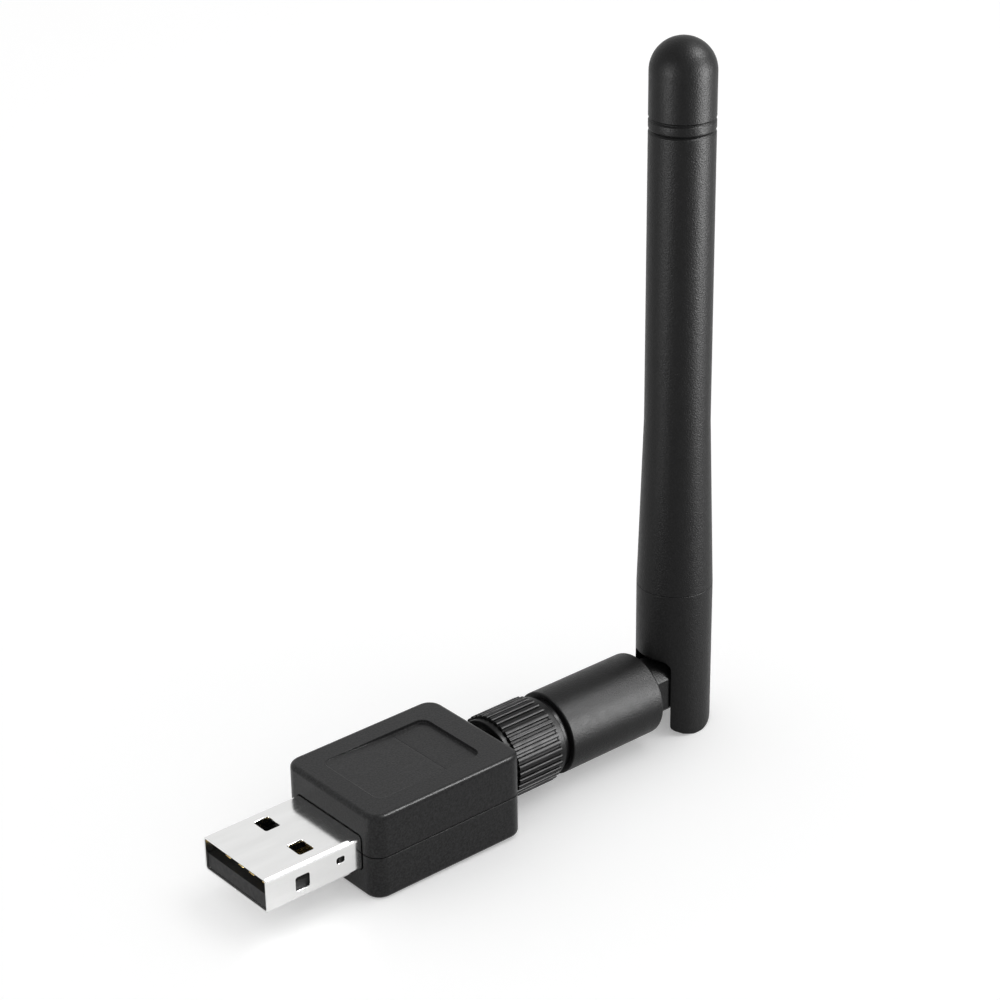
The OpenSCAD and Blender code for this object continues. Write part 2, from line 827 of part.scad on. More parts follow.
module swivel_bush() {
    plug_radius = barrel_bore - press_gap;
    color("#222224") turned([
        [running_bore, neck_front], [neck_radius, neck_front], [neck_radius, barrel_front],
        [plug_radius, barrel_front], [plug_radius, bush_rear], [running_bore, bush_rear]]);
}

// Two short pins, so that the cable can pass between them
module hinge_pins() {
    inner = cable_slot / 2 + face_step;
    outer = ear_inner + pin_reach;
    color(steel) for (s = [-1, 1])
        translate([pin_x, s < 0 ? -inner : outer, 0]) rotate([90, 0, 0])
            cylinder(h = outer - inner, r = pin_radius - press_gap / 2);
}

// --- mast ----------------------------------------------------------------

seam_bevel = 0.1;
spigot_bevel = 0.2;
spigot_room = 0.2;

module fork_blank() {
    spigot = socket_bore - spigot_clearance;
    mast_turned([[0, -foot_reach - past], [foot_radius, -foot_reach - past],
        [foot_radius, fork_rise - seam_bevel], [foot_radius - seam_bevel, fork_rise],
        [spigot, fork_rise], [spigot, fork_rise + spigot_length - spigot_bevel],
        [spigot - spigot_bevel, fork_rise + spigot_length],
        [0, fork_rise + spigot_length]]);
}

module mast_fork() {
    socket_floor = ear_inner + pin_reach + pin_clearance;
    color(black) difference() {
        intersection() {
            fork_blank();
            // The foot is round about the pin, so that it clears the barrel
            union() {
                translate([pin_x, 2 * foot_radius, 0]) rotate([90, 0, 0])
                    cylinder(h = 4 * foot_radius, r = foot_reach, $fn = 144);
                block(pin_x - 2 * foot_radius, 0,
                    [4 * foot_radius, 4 * foot_radius, mast_rise]);
            }
        }
        // The slot is open towards the barrel and below, and closed behind
        intersection() {
            translate([pin_x - 2 * foot_radius, 0, slot_rise - foot_reach]) rotate([90, 0, 90])
                linear_extrude(height = 4 * foot_radius)
                    round_rect(2 * ear_inner, 2 * foot_reach, slot_corner);
            union() {
                block(pin_x - 3 * foot_radius, -2 * foot_reach,
                    [3 * foot_radius, 4 * foot_radius, mast_rise]);
                mast_rod(-2 * foot_reach, mast_rise, foot_radius - slot_back_wall);
            }
        }
        mast_rod(slot_rise - past, fork_rise + spigot_length + past, cable_bore);
        // Blind sockets for the hinge pins
        translate([pin_x, socket_floor, 0]) rotate([90, 0, 0])
            cylinder(h = 2 * socket_floor, r = hinge_bore);
    }
}

module mast_sleeve() {
    step_top = fork_rise + spigot_length + spigot_room;
    groove = cap_groove_width / 2;
    color(black) mast_turned([
        [socket_bore, fork_rise], [foot_radius - seam_bevel, fork_rise],
        [foot_radius, fork_rise + seam_bevel], [mast_radius, taper_rise],
        [cap_radius, cap_bottom - groove], [cap_radius - cap_groove_depth, cap_bottom],
        [sleeve_bore, cap_bottom], [sleeve_bore, step_top], [socket_bore, step_top]]);
}

// Room round the wire and past its tip, in the cap
wire_play = 0.1;
wire_room = 0.3;

module mast_cap() {
    groove = cap_groove_width / 2;
    groove_z = cap_bottom + cap_groove_rise;
    spigot = sleeve_bore - spigot_clearance;
    color(black) difference() {
        mast_turned(concat(
            [[0, cap_bottom - spigot_length],
             [spigot - spigot_bevel, cap_bottom - spigot_length],
             [spigot, cap_bottom - spigot_length + spigot_bevel], [spigot, cap_bottom],
             [cap_radius - cap_groove_depth, cap_bottom], [cap_radius, cap_bottom + groove],
             [cap_radius, groove_z - groove], [cap_radius - cap_groove_depth, groove_z],
             [cap_radius, groove_z + groove]],
            arc(0, mast_rise - cap_radius, cap_radius, 0, 90, 18)));
        mast_rod(cap_bottom - spigot_length - past, wire_tip + wire_room,
            wire_radius + wire_play);
    }
}

module coax_upper() {
    color("#3b3a38") mast_rod(cable_bend_gap, dipole_top, cable_radius);
}

module dipole_sleeve() {
    color(brass) difference() {
        mast_rod(dipole_bottom, dipole_top, dipole_radius);
        mast_rod(dipole_bottom - past, dipole_top - 2 * dipole_wall, dipole_radius - dipole_wall);
        mast_rod(dipole_top - past, dipole_top + past, cable_radius + press_gap);
    }
}

module radiator_wire() {
    color(gold) mast_rod(dipole_top, wire_tip, wire_radius);
}

// --- what is drawn -------------------------------------------------------

upper_housing();
lower_housing();
usb_shell();
usb_tongue();
usb_contact_power();
usb_contact_data_minus();
usb_contact_data_plus();
usb_contact_ground();
circuit_board();
radio_chip();
crystal();
voltage_regulator();
chip_capacitors();
jack_body();
jack_insulator();
jack_pin();
plug_ferrule();
plug_insulator();
plug_socket();
plug_gasket();
snap_ring();
coax_lower();
nut_core();
nut_grip();
barrel_shell();
swivel_bush();
hinge_pins();
mast_fork();
mast_sleeve();
mast_cap();
coax_upper();
dipole_sleeve();
radiator_wire();
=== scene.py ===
# %% [markdown]
# # A USB wireless adapter with a whip antenna
#
# A small black plastic housing carries a steel USB plug at one end. At the other
# end an antenna screws on with a ribbed nut. Behind the nut, a barrel swivels on
# the connector, and an upright whip tilts on the barrel's knuckle.
#
# The construction is already settled: the frame holds every solid at its real
# size, in metres. Here each visible piece gets the shape and the finish that the
# eye expects, with softened edges, mould grain, plating and a cut thread.

import math

import bmesh
import bpy
from mathutils import Matrix, Vector


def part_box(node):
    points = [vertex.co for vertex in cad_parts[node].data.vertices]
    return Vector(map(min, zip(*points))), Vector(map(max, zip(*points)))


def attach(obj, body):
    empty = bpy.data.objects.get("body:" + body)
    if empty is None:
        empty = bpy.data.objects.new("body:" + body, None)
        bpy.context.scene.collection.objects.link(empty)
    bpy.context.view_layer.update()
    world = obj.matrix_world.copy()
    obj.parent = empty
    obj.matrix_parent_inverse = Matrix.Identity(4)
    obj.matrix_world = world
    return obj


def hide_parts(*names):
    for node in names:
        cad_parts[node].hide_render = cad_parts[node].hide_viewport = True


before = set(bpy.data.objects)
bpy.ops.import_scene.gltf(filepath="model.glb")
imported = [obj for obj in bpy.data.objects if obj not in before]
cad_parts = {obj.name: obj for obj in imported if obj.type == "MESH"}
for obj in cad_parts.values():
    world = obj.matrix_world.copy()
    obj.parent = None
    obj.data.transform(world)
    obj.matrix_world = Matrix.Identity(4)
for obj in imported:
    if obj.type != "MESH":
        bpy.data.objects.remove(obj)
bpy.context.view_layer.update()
print("frame nodes:", len(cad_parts))

# %% [markdown]
# ## The camera
#
# The adapter is seen from its front left corner and from a little above, with a
# long lens, so that the antenna stays nearly parallel. The camera's place comes
# first, because the lamps are then set round it.

# %% Place the camera
MM = 0.001
CAMERA_AZIMUTH, CAMERA_ELEVATION, CAMERA_ROLL = (
    math.radians(a) for a in (-39.99, 26.10, -0.82))
CAMERA_PLACE = Vector((-152.826, -213.277, 170.0)) * MM
LENS_MM, SENSOR_MM = 97.69, 36.0

toward_camera = Vector((
    math.sin(CAMERA_AZIMUTH) * math.cos(CAMERA_ELEVATION),
    -math.cos(CAMERA_AZIMUTH) * math.cos(CAMERA_ELEVATION),
    math.sin(CAMERA_ELEVATION)))
level_right = Vector((math.cos(CAMERA_AZIMUTH), math.sin(CAMERA_AZIMUTH), 0))
level_up = toward_camera.cross(level_right)
camera_right = (math.cos(CAMERA_ROLL) * level_right
                + math.sin(CAMERA_ROLL) * level_up)
camera_up = toward_camera.cross(camera_right)

camera_data = bpy.data.cameras.new("camera")
camera_data.lens = LENS_MM
camera_data.sensor_width = SENSOR_MM
camera_data.clip_start = 0.01
camera = bpy.data.objects.new("camera", camera_data)
camera.matrix_world = (
    Matrix.Translation(CAMERA_PLACE)
    @ Matrix((camera_right, camera_up, toward_camera)).transposed().to_4x4())
bpy.context.scene.collection.objects.link(camera)
bpy.context.scene.camera = camera
bpy.context.scene.view_settings.view_transform = "Standard"
print("camera at", [round(c, 3) for c in camera.location])

# %% [markdown]
# ## Floor, backdrop and lamps
#
# A product table is white all round. The floor and the world show themselves as
# white to the camera, and to mirror-like and clear materials, but they light the
# adapter only gently. One broad lamp, high on the right, gives the light its
# direction, and two upright strips stand beside it on the table. The strips are
# there for gloss alone, like the cards that a studio sets up to draw a line of
# light along a black tube, so matt surfaces and the camera don't see them. A
# small card, higher up, does the same for the edges of the housing.

# %% White surroundings
def seen_directly(tree):
    """1 for rays from the camera, from mirrors and through glass, otherwise 0."""
    path = tree.nodes.new("ShaderNodeLightPath")
    total = path.outputs["Is Camera Ray"]
    for kind in ("Is Glossy Ray", "Is Transmission Ray"):
        highest = tree.nodes.new("ShaderNodeMath")
        highest.operation = "MAXIMUM"
        tree.links.new(total, highest.inputs[0])
        tree.links.new(path.outputs[kind], highest.inputs[1])
        total = highest.outputs[0]
    return total


AMBIENT = 0.78
world = bpy.data.worlds.new("studio")
bpy.context.scene.world = world
world.use_nodes = True
sky = world.node_tree
background = sky.nodes["Background"]
choose = sky.nodes.new("ShaderNodeMix")
choose.data_type = "RGBA"
choose.inputs["A"].default_value = (AMBIENT, AMBIENT, AMBIENT, 1)
choose.inputs["B"].default_value = (1, 1, 1, 1)
sky.links.new(seen_directly(sky), choose.inputs["Factor"])
sky.links.new(choose.outputs["Result"], background.inputs["Color"])
print("world lights at", AMBIENT, "and shows as white")

# %% The table
FLOOR_WHITE, FLOOR_GLOW, FLOOR_REACH = 0.80, 0.30, 1.5
# The hinge pin, the foot's reach from the pin, and the round of the housing, in mm
PIN_X, FOOT_REACH, EDGE = 54.0, 6.2, 0.6
# The adapter rests on the housing's front edge and on the antenna's round foot,
# so the table runs from that edge to where it touches a circle about the pin.
rest = Vector((EDGE * MM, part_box("lower_housing")[0].z))
to_pin = Vector((PIN_X * MM, 0)) - rest
table_slope = (math.atan2(to_pin.y, to_pin.x)
               - math.asin(FOOT_REACH * MM / to_pin.length))


def make_table():
    """A white floor that the adapter rests on, and that keeps its shadow."""
    mesh = bpy.data.meshes.new("table")
    corners = [(rest.x + sx * FLOOR_REACH, sy * FLOOR_REACH,
                rest.y + sx * FLOOR_REACH * math.tan(table_slope))
               for sx, sy in ((-1, -1), (1, -1), (1, 1), (-1, 1))]
    mesh.from_pydata(corners, [], [(0, 1, 2, 3)])
    table = bpy.data.objects.new("table", mesh)
    bpy.context.scene.collection.objects.link(table)
    paint = bpy.data.materials.new("white_table")
    paint.use_nodes = True
    tree = paint.node_tree
    tree.nodes.clear()
    matt = tree.nodes.new("ShaderNodeBsdfDiffuse")
    matt.inputs["Color"].default_value = (FLOOR_WHITE,) * 3 + (1,)
    glow = tree.nodes.new("ShaderNodeEmission")
    both = tree.nodes.new("ShaderNodeAddShader")
    out = tree.nodes.new("ShaderNodeOutputMaterial")
    level = tree.nodes.new("ShaderNodeMath")
    level.operation = "MULTIPLY"
    level.inputs[1].default_value = FLOOR_GLOW
    tree.links.new(seen_directly(tree), level.inputs[0])
    tree.links.new(level.outputs[0], glow.inputs["Strength"])
    tree.links.new(matt.outputs[0], both.inputs[0])
    tree.links.new(glow.outputs[0], both.inputs[1])
    tree.links.new(both.outputs[0], out.inputs["Surface"])
    mesh.materials.append(paint)
    return table


make_table()
print("table slope", round(math.degrees(table_slope), 2), "degrees")

# %% The lamps
STUDIO_CENTRE = Vector((25, 0, 25)) * MM


def lamp(name, turn, lift, distance, width, height, watts):
    """A soft lamp that faces the studio's centre.

    turn is its angle to the right of the camera and lift its angle above the
    level, in degrees. Its distance and its size are in metres."""
    turn, lift = math.radians(turn), math.radians(lift)
    ahead = Vector((toward_camera.x, toward_camera.y, 0)).normalized()
    flat = math.cos(turn) * ahead + math.sin(turn) * level_right
    direction = math.cos(lift) * flat + math.sin(lift) * Vector((0, 0, 1))
    data = bpy.data.lights.new(name, "AREA")
    data.shape = "RECTANGLE"
    data.size, data.size_y, data.energy = width, height, watts
    obj = bpy.data.objects.new(name, data)
    obj.location = STUDIO_CENTRE + direction * distance
    obj.rotation_euler = direction.to_track_quat("Z", "Y").to_euler()
    bpy.context.scene.collection.objects.link(obj)
    return obj


lamp("softbox", 112, 58, 0.60, 0.50, 0.30, 0.65)
strips = [lamp("right_strip", 78, 11.5, 0.180, 0.06, 0.13, 1.12),
          lamp("left_strip", -54, 13, 0.185, 0.05, 0.14, 0.55)]
edge_card = lamp("edge_card", 93, 52, 0.30, 0.06, 0.06, 1.25)
for gloss_lamp in strips + [edge_card]:
    gloss_lamp.visible_diffuse = False
    gloss_lamp.visible_camera = False

# %% [markdown]
# ## Finishes
#
# Nearly everything is black, so the finishes differ in grain and in gloss. Each
# one is a single shader with procedural noise behind its colour, its roughness
# and its bump. The noise reads Object coordinates, which here are real metres
# on the piece, so a grain of a tenth of a millimetre is just that.

# %% How a finish is built
NOISE_LOW, NOISE_HIGH = 0.3, 0.7    # noise seldom leaves this range
SPECK_SIZE = 1.7                    # size of the dull specks, against the grain's
UM = 1e-6


def noise(tree, size_mm, detail=2.0, stretch=(1, 1, 1)):
    """Noise whose features are about size_mm across, stretched along an axis."""
    place = tree.nodes.new("ShaderNodeTexCoord").outputs["Object"]
    if stretch != (1, 1, 1):
        mapping = tree.nodes.new("ShaderNodeMapping")
        mapping.inputs["Scale"].default_value = [1 / s for s in stretch]
        tree.links.new(place, mapping.inputs["Vector"])
        place = mapping.outputs["Vector"]
    node = tree.nodes.new("ShaderNodeTexNoise")
    node.inputs["Scale"].default_value = 1 / (size_mm * MM)
    node.inputs["Detail"].default_value = detail
    tree.links.new(place, node.inputs["Vector"])
    return node.outputs["Fac"]


def between(tree, factor, low, high):
    """A number that follows the factor from low to high."""
    node = tree.nodes.new("ShaderNodeMapRange")
    node.inputs["From Min"].default_value = NOISE_LOW
    node.inputs["From Max"].default_value = NOISE_HIGH
    node.inputs["To Min"].default_value = low
    node.inputs["To Max"].default_value = high
    tree.links.new(factor, node.inputs["Value"])
    return node.outputs["Result"]


def blend_colours(tree, factor, low, high):
    """A colour that follows the factor from low to high."""
    node = tree.nodes.new("ShaderNodeMix")
    node.data_type = "RGBA"
    node.inputs["A"].default_value = (*low, 1)
    node.inputs["B"].default_value = (*high, 1)
    tree.links.new(between(tree, factor, 0, 1), node.inputs["Factor"])
    return node.outputs["Result"]


def bump(tree, height, depth_um, normal=None):
    """A bump whose noise stands depth_um micrometres high, over an earlier one."""
    node = tree.nodes.new("ShaderNodeBump")
    node.inputs["Distance"].default_value = depth_um * UM
    tree.links.new(height, node.inputs["Height"])
    if normal is not None:
        tree.links.new(normal, node.inputs["Normal"])
    return node.outputs["Normal"]


def finish(name, low, high, rough, grain, metal=0.0, ior=1.45,
           mottle_mm=2.0, stretch=(1, 1, 1)):
    """A finish: two near colours, a range of roughness and layers of grain.

    grain is a list of (size in mm, depth in micrometres)."""
    material = bpy.data.materials.new(name)
    material.use_nodes = True
    tree = material.node_tree
    shader = tree.nodes["Principled BSDF"]
    shader.inputs["Metallic"].default_value = metal
    shader.inputs["IOR"].default_value = ior
    cloud = noise(tree, mottle_mm, stretch=stretch)
    tree.links.new(blend_colours(tree, cloud, low, high),
                   shader.inputs["Base Color"])
    speck = noise(tree, grain[0][0] * SPECK_SIZE, stretch=stretch)
    tree.links.new(between(tree, speck, *rough), shader.inputs["Roughness"])
    normal = None
    for size_mm, depth_um in grain:
        normal = bump(tree, noise(tree, size_mm, stretch=stretch), depth_um, normal)
    tree.links.new(normal, shader.inputs["Normal"])
    material.diffuse_color = (*high, 1)
    return material


def grey(value, coolness=1.04):
    """A neutral colour, a touch cooler than plain grey."""
    return (value, value, value * coolness)


# %% The black plastics
housing_black = finish("housing_black", grey(0.004), grey(0.020), (0.32, 0.38),
                       [(0.45, 4.0), (0.20, 16.0)], ior=1.28, mottle_mm=0.22)
antenna_black = finish("antenna_black", grey(0.002), grey(0.007), (0.40, 0.46),
                       [(0.45, 5.0), (0.18, 42.0)], ior=1.24, mottle_mm=0.22)
nut_black = finish("nut_black", grey(0.004), grey(0.007), (0.34, 0.42),
                   [(0.8, 2.0), (0.25, 8.0)], ior=1.21)
tongue_black = finish("tongue_black", grey(0.006), grey(0.009), (0.45, 0.60),
                      [(0.3, 4.0)], ior=1.30)
bush_black = finish("bush_black", grey(0.003), grey(0.005), (0.30, 0.38),
                    [(0.3, 4.0)], ior=1.20)
print("plastics:", [m.name for m in bpy.data.materials if "black" in m.name])

# %% [markdown]
# The plug's shell is sheet steel with bright nickel. It was rolled before it
# was folded, so what grain it has runs along the plug. Gold on the contacts and
# on the connector is thin, and shows fine turning or drawing marks.

# %% The metals
bright_nickel = finish("bright_nickel", (0.74, 0.74, 0.735), (0.79, 0.79, 0.785),
                       (0.11, 0.17), [(0.2, 0.30)], metal=1.0, stretch=(6, 1, 1))
contact_gold = finish("contact_gold", (0.86, 0.62, 0.22), (0.95, 0.74, 0.34),
                      (0.22, 0.34), [(0.15, 1.0)], metal=1.0, stretch=(6, 1, 1))
turned_brass = finish("turned_brass", (0.74, 0.55, 0.24), (0.84, 0.65, 0.31),
                      (0.24, 0.36), [(0.12, 1.5)], metal=1.0, stretch=(1, 8, 8))
black_plating = finish("black_plating", grey(0.030), grey(0.045), (0.28, 0.40),
                       [(0.12, 1.5)], metal=1.0, stretch=(1, 8, 8))
spring_steel = finish("spring_steel", (0.50, 0.50, 0.51), (0.60, 0.60, 0.61),
                      (0.28, 0.40), [(0.2, 1.0)], metal=1.0, stretch=(1, 5, 1))
print("metals:", [m.name for m in (bright_nickel, contact_gold, turned_brass,
                                   black_plating, spring_steel)])

# %% What lies inside
ptfe_white = finish("ptfe_white", (0.74, 0.73, 0.69), (0.80, 0.79, 0.75),
                    (0.42, 0.55), [(0.4, 3.0)])
gasket_rubber = finish("gasket_rubber", grey(0.040), grey(0.055), (0.70, 0.85),
                       [(0.1, 4.0)])
cable_jacket = finish("cable_jacket", (0.040, 0.034, 0.029), (0.052, 0.045, 0.038),
                      (0.30, 0.42), [(0.5, 3.0)])
board_green = finish("board_green", (0.012, 0.095, 0.035), (0.022, 0.140, 0.055),
                     (0.24, 0.36), [(0.6, 3.0)], mottle_mm=1.2)
chip_black = finish("chip_black", grey(0.022), grey(0.030), (0.55, 0.68),
                    [(0.12, 4.0)])
ceramic_tan = finish("ceramic_tan", (0.38, 0.29, 0.17), (0.46, 0.36, 0.23),
                     (0.45, 0.60), [(0.1, 3.0)], mottle_mm=0.6)
print("finishes made:", len(bpy.data.materials))

# %% [markdown]
# ## Ways of making a piece
#
# Two kinds of form cover this object. Most of it is turned: an outline swept
# round an axis, as on a lathe. The rest is a loft through loops that are
# rectangles with round corners. Both come from one helper that skins loops of
# points into a closed mesh. An outline's corners are softened before it is
# turned, because a real edge is never sharp and its thin highlight is most of
# what shows on black plastic.

# %% Skin loops into a closed mesh
WELD = 1e-7     # points nearer to each other than this, in metres, are one


def new_piece(name, vertices, faces):
    """A mesh object at the origin, welded, closed and facing outwards."""
    mesh = bpy.data.meshes.new(name)
    mesh.from_pydata([tuple(v) for v in vertices], [], faces)
    work = bmesh.new()
    work.from_mesh(mesh)
    bmesh.ops.remove_doubles(work, verts=work.verts, dist=WELD)
    bmesh.ops.dissolve_degenerate(work, edges=work.edges, dist=WELD)
    bmesh.ops.recalc_face_normals(work, faces=work.faces)
    work.to_mesh(mesh)
    work.free()
    obj = bpy.data.objects.new(name, mesh)
    bpy.context.scene.collection.objects.link(obj)
    return obj


def skin(name, loops, ring=True, around=False, caps=()):
    """Quads through equal loops. around joins the last loop to the first."""
    count = len(loops[0])
    vertices = [p for loop in loops for p in loop]
    faces = []
    pairs = list(zip(range(len(loops)), range(1, len(loops))))
    if around:
        pairs.append((len(loops) - 1, 0))
    for a, b in pairs:
        for i in range(count if ring else count - 1):
            j = (i + 1) % count
            faces.append((a * count + i, a * count + j, b * count + j, b * count + i))
    for cap in caps:
        start = cap * count
        for i in range(count // 2 - 1):
            faces.append((start + i, start + i + 1,
                          start + count - 2 - i, start + count - 1 - i))
    return new_piece(name, vertices, faces)


# %% Turn an outline on the lathe
STRAIGHT = math.radians(165)    # a corner wider than this is left as it is
EDGE_SHARE = 0.45               # the most of an edge that a curve may take up
TINY = 1e-6


def soften(outline, size, closed=True, steps=3):
    """The outline with each real corner replaced by a short curve.

    Points are (radius, along); size may be one number or one for each point."""
    count, out = len(outline), []
    for i, point in enumerate(outline):
        cut = size[i] if isinstance(size, (list, tuple)) else size
        p = Vector(point)
        before = Vector(outline[i - 1]) if closed or i else None
        after = Vector(outline[(i + 1) % count]) if closed or i < count - 1 else None
        if before is None or after is None or cut <= 0 or p.x < TINY:
            out.append(tuple(p))
            continue
        a, b = before - p, after - p
        if min(a.length, b.length) < TINY or a.angle(b) > STRAIGHT:
            out.append(tuple(p))
            continue
        cut = min(cut, EDGE_SHARE * a.length, EDGE_SHARE * b.length)
        start, end = p + a.normalized() * cut, p + b.normalized() * cut
        for k in range(steps + 1):
            t = k / steps
            q = (1 - t) ** 2 * start + 2 * t * (1 - t) * p + t * t * end
            out.append(tuple(q))
    return out


def arc(centre, radius, start, end, steps):
    """Points (radius, along) on part of a circle, angles in degrees."""
    angles = [math.radians(start + (end - start) * i / steps)
              for i in range(steps + 1)]
    return [(centre[0] + radius * math.cos(a), centre[1] + radius * math.sin(a))
            for a in angles]


def circle(radius, steps, centre=(0, 0)):
    """Points of a whole circle, without the last, which would be the first."""
    return arc(centre, radius, 0, 360, steps)[:-1]


def turned(name, outline, axis="X", place=(0, 0, 0), steps=144, around=True):
    """A closed outline of (radius, along) in mm, turned about a line on X, Y or Z."""
    loops = []
    for radius, along in outline:
        loop = []
        for k in range(steps):
            angle = 2 * math.pi * k / steps
            u, v = radius * math.cos(angle), radius * math.sin(angle)
            loop.append({"X": Vector((along, u, v)), "Y": Vector((v, along, u)),
                         "Z": Vector((u, v, along))}[axis])
        loops.append([(p + Vector(place)) * MM for p in loop])
    return skin(name, loops, around=around)


# %% Rectangles with round corners, and prisms
def rounded_side(low, high, half_width, corner, stations=(), steps=8):
    """The upper half of a round-cornered rectangle, as (along, across) points."""
    corner = max(corner, 1e-4)
    front = [(low + corner - corner * math.cos(a),
              half_width - corner + corner * math.sin(a))
             for a in (math.pi / 2 * i / steps for i in range(steps + 1))]
    rear = [(low + high - u, v) for u, v in reversed(front)]
    span = high - low - 2 * corner
    middle = [(low + corner + span * s, half_width) for s in stations]
    return front + middle + rear


def rounded_loop(place_point, *shape, **options):
    """A whole round-cornered rectangle, each point placed by place_point."""
    side = rounded_side(*shape, **options)
    return ([place_point(u, v) for u, v in side]
            + [place_point(u, -v) for u, v in reversed(side)])


def prism(name, outline, axis, low, high):
    """A flat outline in mm pushed through from low to high along X, Y or Z."""
    def at(u, v, w):
        return Vector({"X": (w, u, v), "Y": (u, w, v), "Z": (u, v, w)}[axis]) * MM
    count = len(outline)
    vertices = [at(u, v, w) for w in (low, high) for u, v in outline]
    faces = [tuple(range(count)), tuple(range(count, 2 * count))]
    faces += [(i, (i + 1) % count, count + (i + 1) % count, count + i)
              for i in range(count)]
    return new_piece(name, vertices, faces)


# %% Cut, settle and hand over a piece
def settle(piece):
    """Bake the piece's modifiers into its mesh."""
    graph = bpy.context.evaluated_depsgraph_get()
    done = bpy.data.meshes.new_from_object(piece.evaluated_get(graph))
    old = piece.data
    piece.modifiers.clear()
    piece.data = done
    bpy.data.meshes.remove(old)
    return piece


def carve(piece, tool, how="DIFFERENCE"):
    """Take the tool's volume from the piece, or keep only what both share."""
    cut = piece.modifiers.new("cut", "BOOLEAN")
    cut.object, cut.operation, cut.solver = tool, how, "EXACT"
    settle(piece)
    bpy.data.objects.remove(tool)
    return piece


def break_edges(piece, width_mm, over_degrees=50, segments=2):
    """A small round along each edge sharper than over_degrees."""
    edge = piece.modifiers.new("edges", "BEVEL")
    edge.width, edge.segments = width_mm * MM, segments
    edge.limit_method, edge.angle_limit = "ANGLE", math.radians(over_degrees)
    edge.miter_outer = "MITER_ARC"
    return settle(piece)


def add_piece(piece, material, body, slot, *nodes, crease=32):
    """Shade, colour and seat a finished piece, and hide the nodes it stands for."""
    mesh = piece.data
    mesh.materials.clear()
    mesh.materials.append(material)
    mesh.shade_smooth()
    mesh.set_sharp_from_angle(angle=math.radians(crease))
    even = piece.modifiers.new("even", "WEIGHTED_NORMAL")
    even.keep_sharp, even.weight = True, 90
    mesh = settle(piece).data
    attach(piece, body)
    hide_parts(*nodes)
    work = bmesh.new()
    work.from_mesh(mesh)
    open_edges = sum(not e.is_manifold for e in work.edges)
    volume = work.calc_volume(signed=True) * 1e9
    triangles = sum(len(f.verts) - 2 for f in work.faces)
    work.free()
    print(f"{piece.name}: {triangles} triangles, {volume:.1f} mm3, "
          f"{open_edges} open edges")
    return piece


# %% [markdown]
# ## The housing
#
# Two moulded halves meet at a fine line round the middle. Each half is a box
# with round corners and a softened outer edge, lofted level by level, and hollow.
# The top half has a shallow thumb recess. Its floor only slopes lengthways, so
# once the loops have stepped down the recess wall, straight strips from side to
# side close it exactly. The ports for plug and jack are cut at the end.

# %% Housing sizes
house_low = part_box("lower_housing")[0] / MM
house_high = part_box("upper_housing")[1] / MM
CORNER, WALL, SEAM_DEPTH, SEAM_HALF = 1.9, 1.4, 0.25, 0.06
INNER_CORNER, SEAM_EDGE, FACE_STEP = WALL + 0.5, 0.04, 0.06
RECESS_FRONT, RECESS_REAR, RECESS_HALF, RECESS_CORNER = 3.1, 18.3, 5.4, 1.2
RECESS_DEPTH, RECESS_FRONT_DEPTH, RECESS_CREASE, CREASE_DEPTH = 0.4, 0.06, 13.3, 0.03
# How far the recess's wall is drawn in, at each share of the full depth
RECESS_WALL = ((-0.05, 0), (0, 0.02), (0.02, 0.10), (0.035, 0.35),
               (0.05, 0.65), (0.07, 0.88), (0.10, 0.98), (0.16, 1))
# What passes through the ports: half the plug's height and width, and the jack
PLUG_HALF_HIGH, PLUG_HALF_WIDE, PORT_CORNER, JACK_R = 2.25, 6, 0.7, 3.15
PORT_GAP = 0.15
print("housing", [round(v, 2) for v in house_high - house_low], "mm")


def recess_depth(x):
    """Depth of the recess floor: it slopes down to a fine crease, then runs level."""
    share = (x - RECESS_FRONT) / (RECESS_CREASE - RECESS_FRONT)
    share = min(max(share, 0), 1)
    crease = CREASE_DEPTH if abs(x - RECESS_CREASE) < CREASE_DEPTH else 0
    return RECESS_FRONT_DEPTH + (RECESS_DEPTH - RECESS_FRONT_DEPTH) * share + crease


# %% Loft one half
# Where the long sides have points, as shares; some are close, for the crease
SIDE_STATIONS = (0.15, 0.3, 0.45, 0.6, 0.67, 0.697, 0.703, 0.709, 0.74, 0.85, 0.95)


def level_loop(inset, z, corner=CORNER):
    """The housing's outline at a height, drawn in by an inset."""
    return rounded_loop(
        lambda u, v: Vector((u, v, z)) * MM, inset, house_high.x - inset,
        house_high.y - inset, corner - inset, stations=SIDE_STATIONS)


def recess_loop(inset, share):
    """The recess's outline, drawn in, at a share of the full depth."""
    def at(u, v):
        return Vector((u, v, house_high.z - share * recess_depth(u))) * MM
    return rounded_loop(at, RECESS_FRONT + inset, RECESS_REAR - inset,
                        RECESS_HALF - inset, RECESS_CORNER - inset,
                        stations=SIDE_STATIONS)


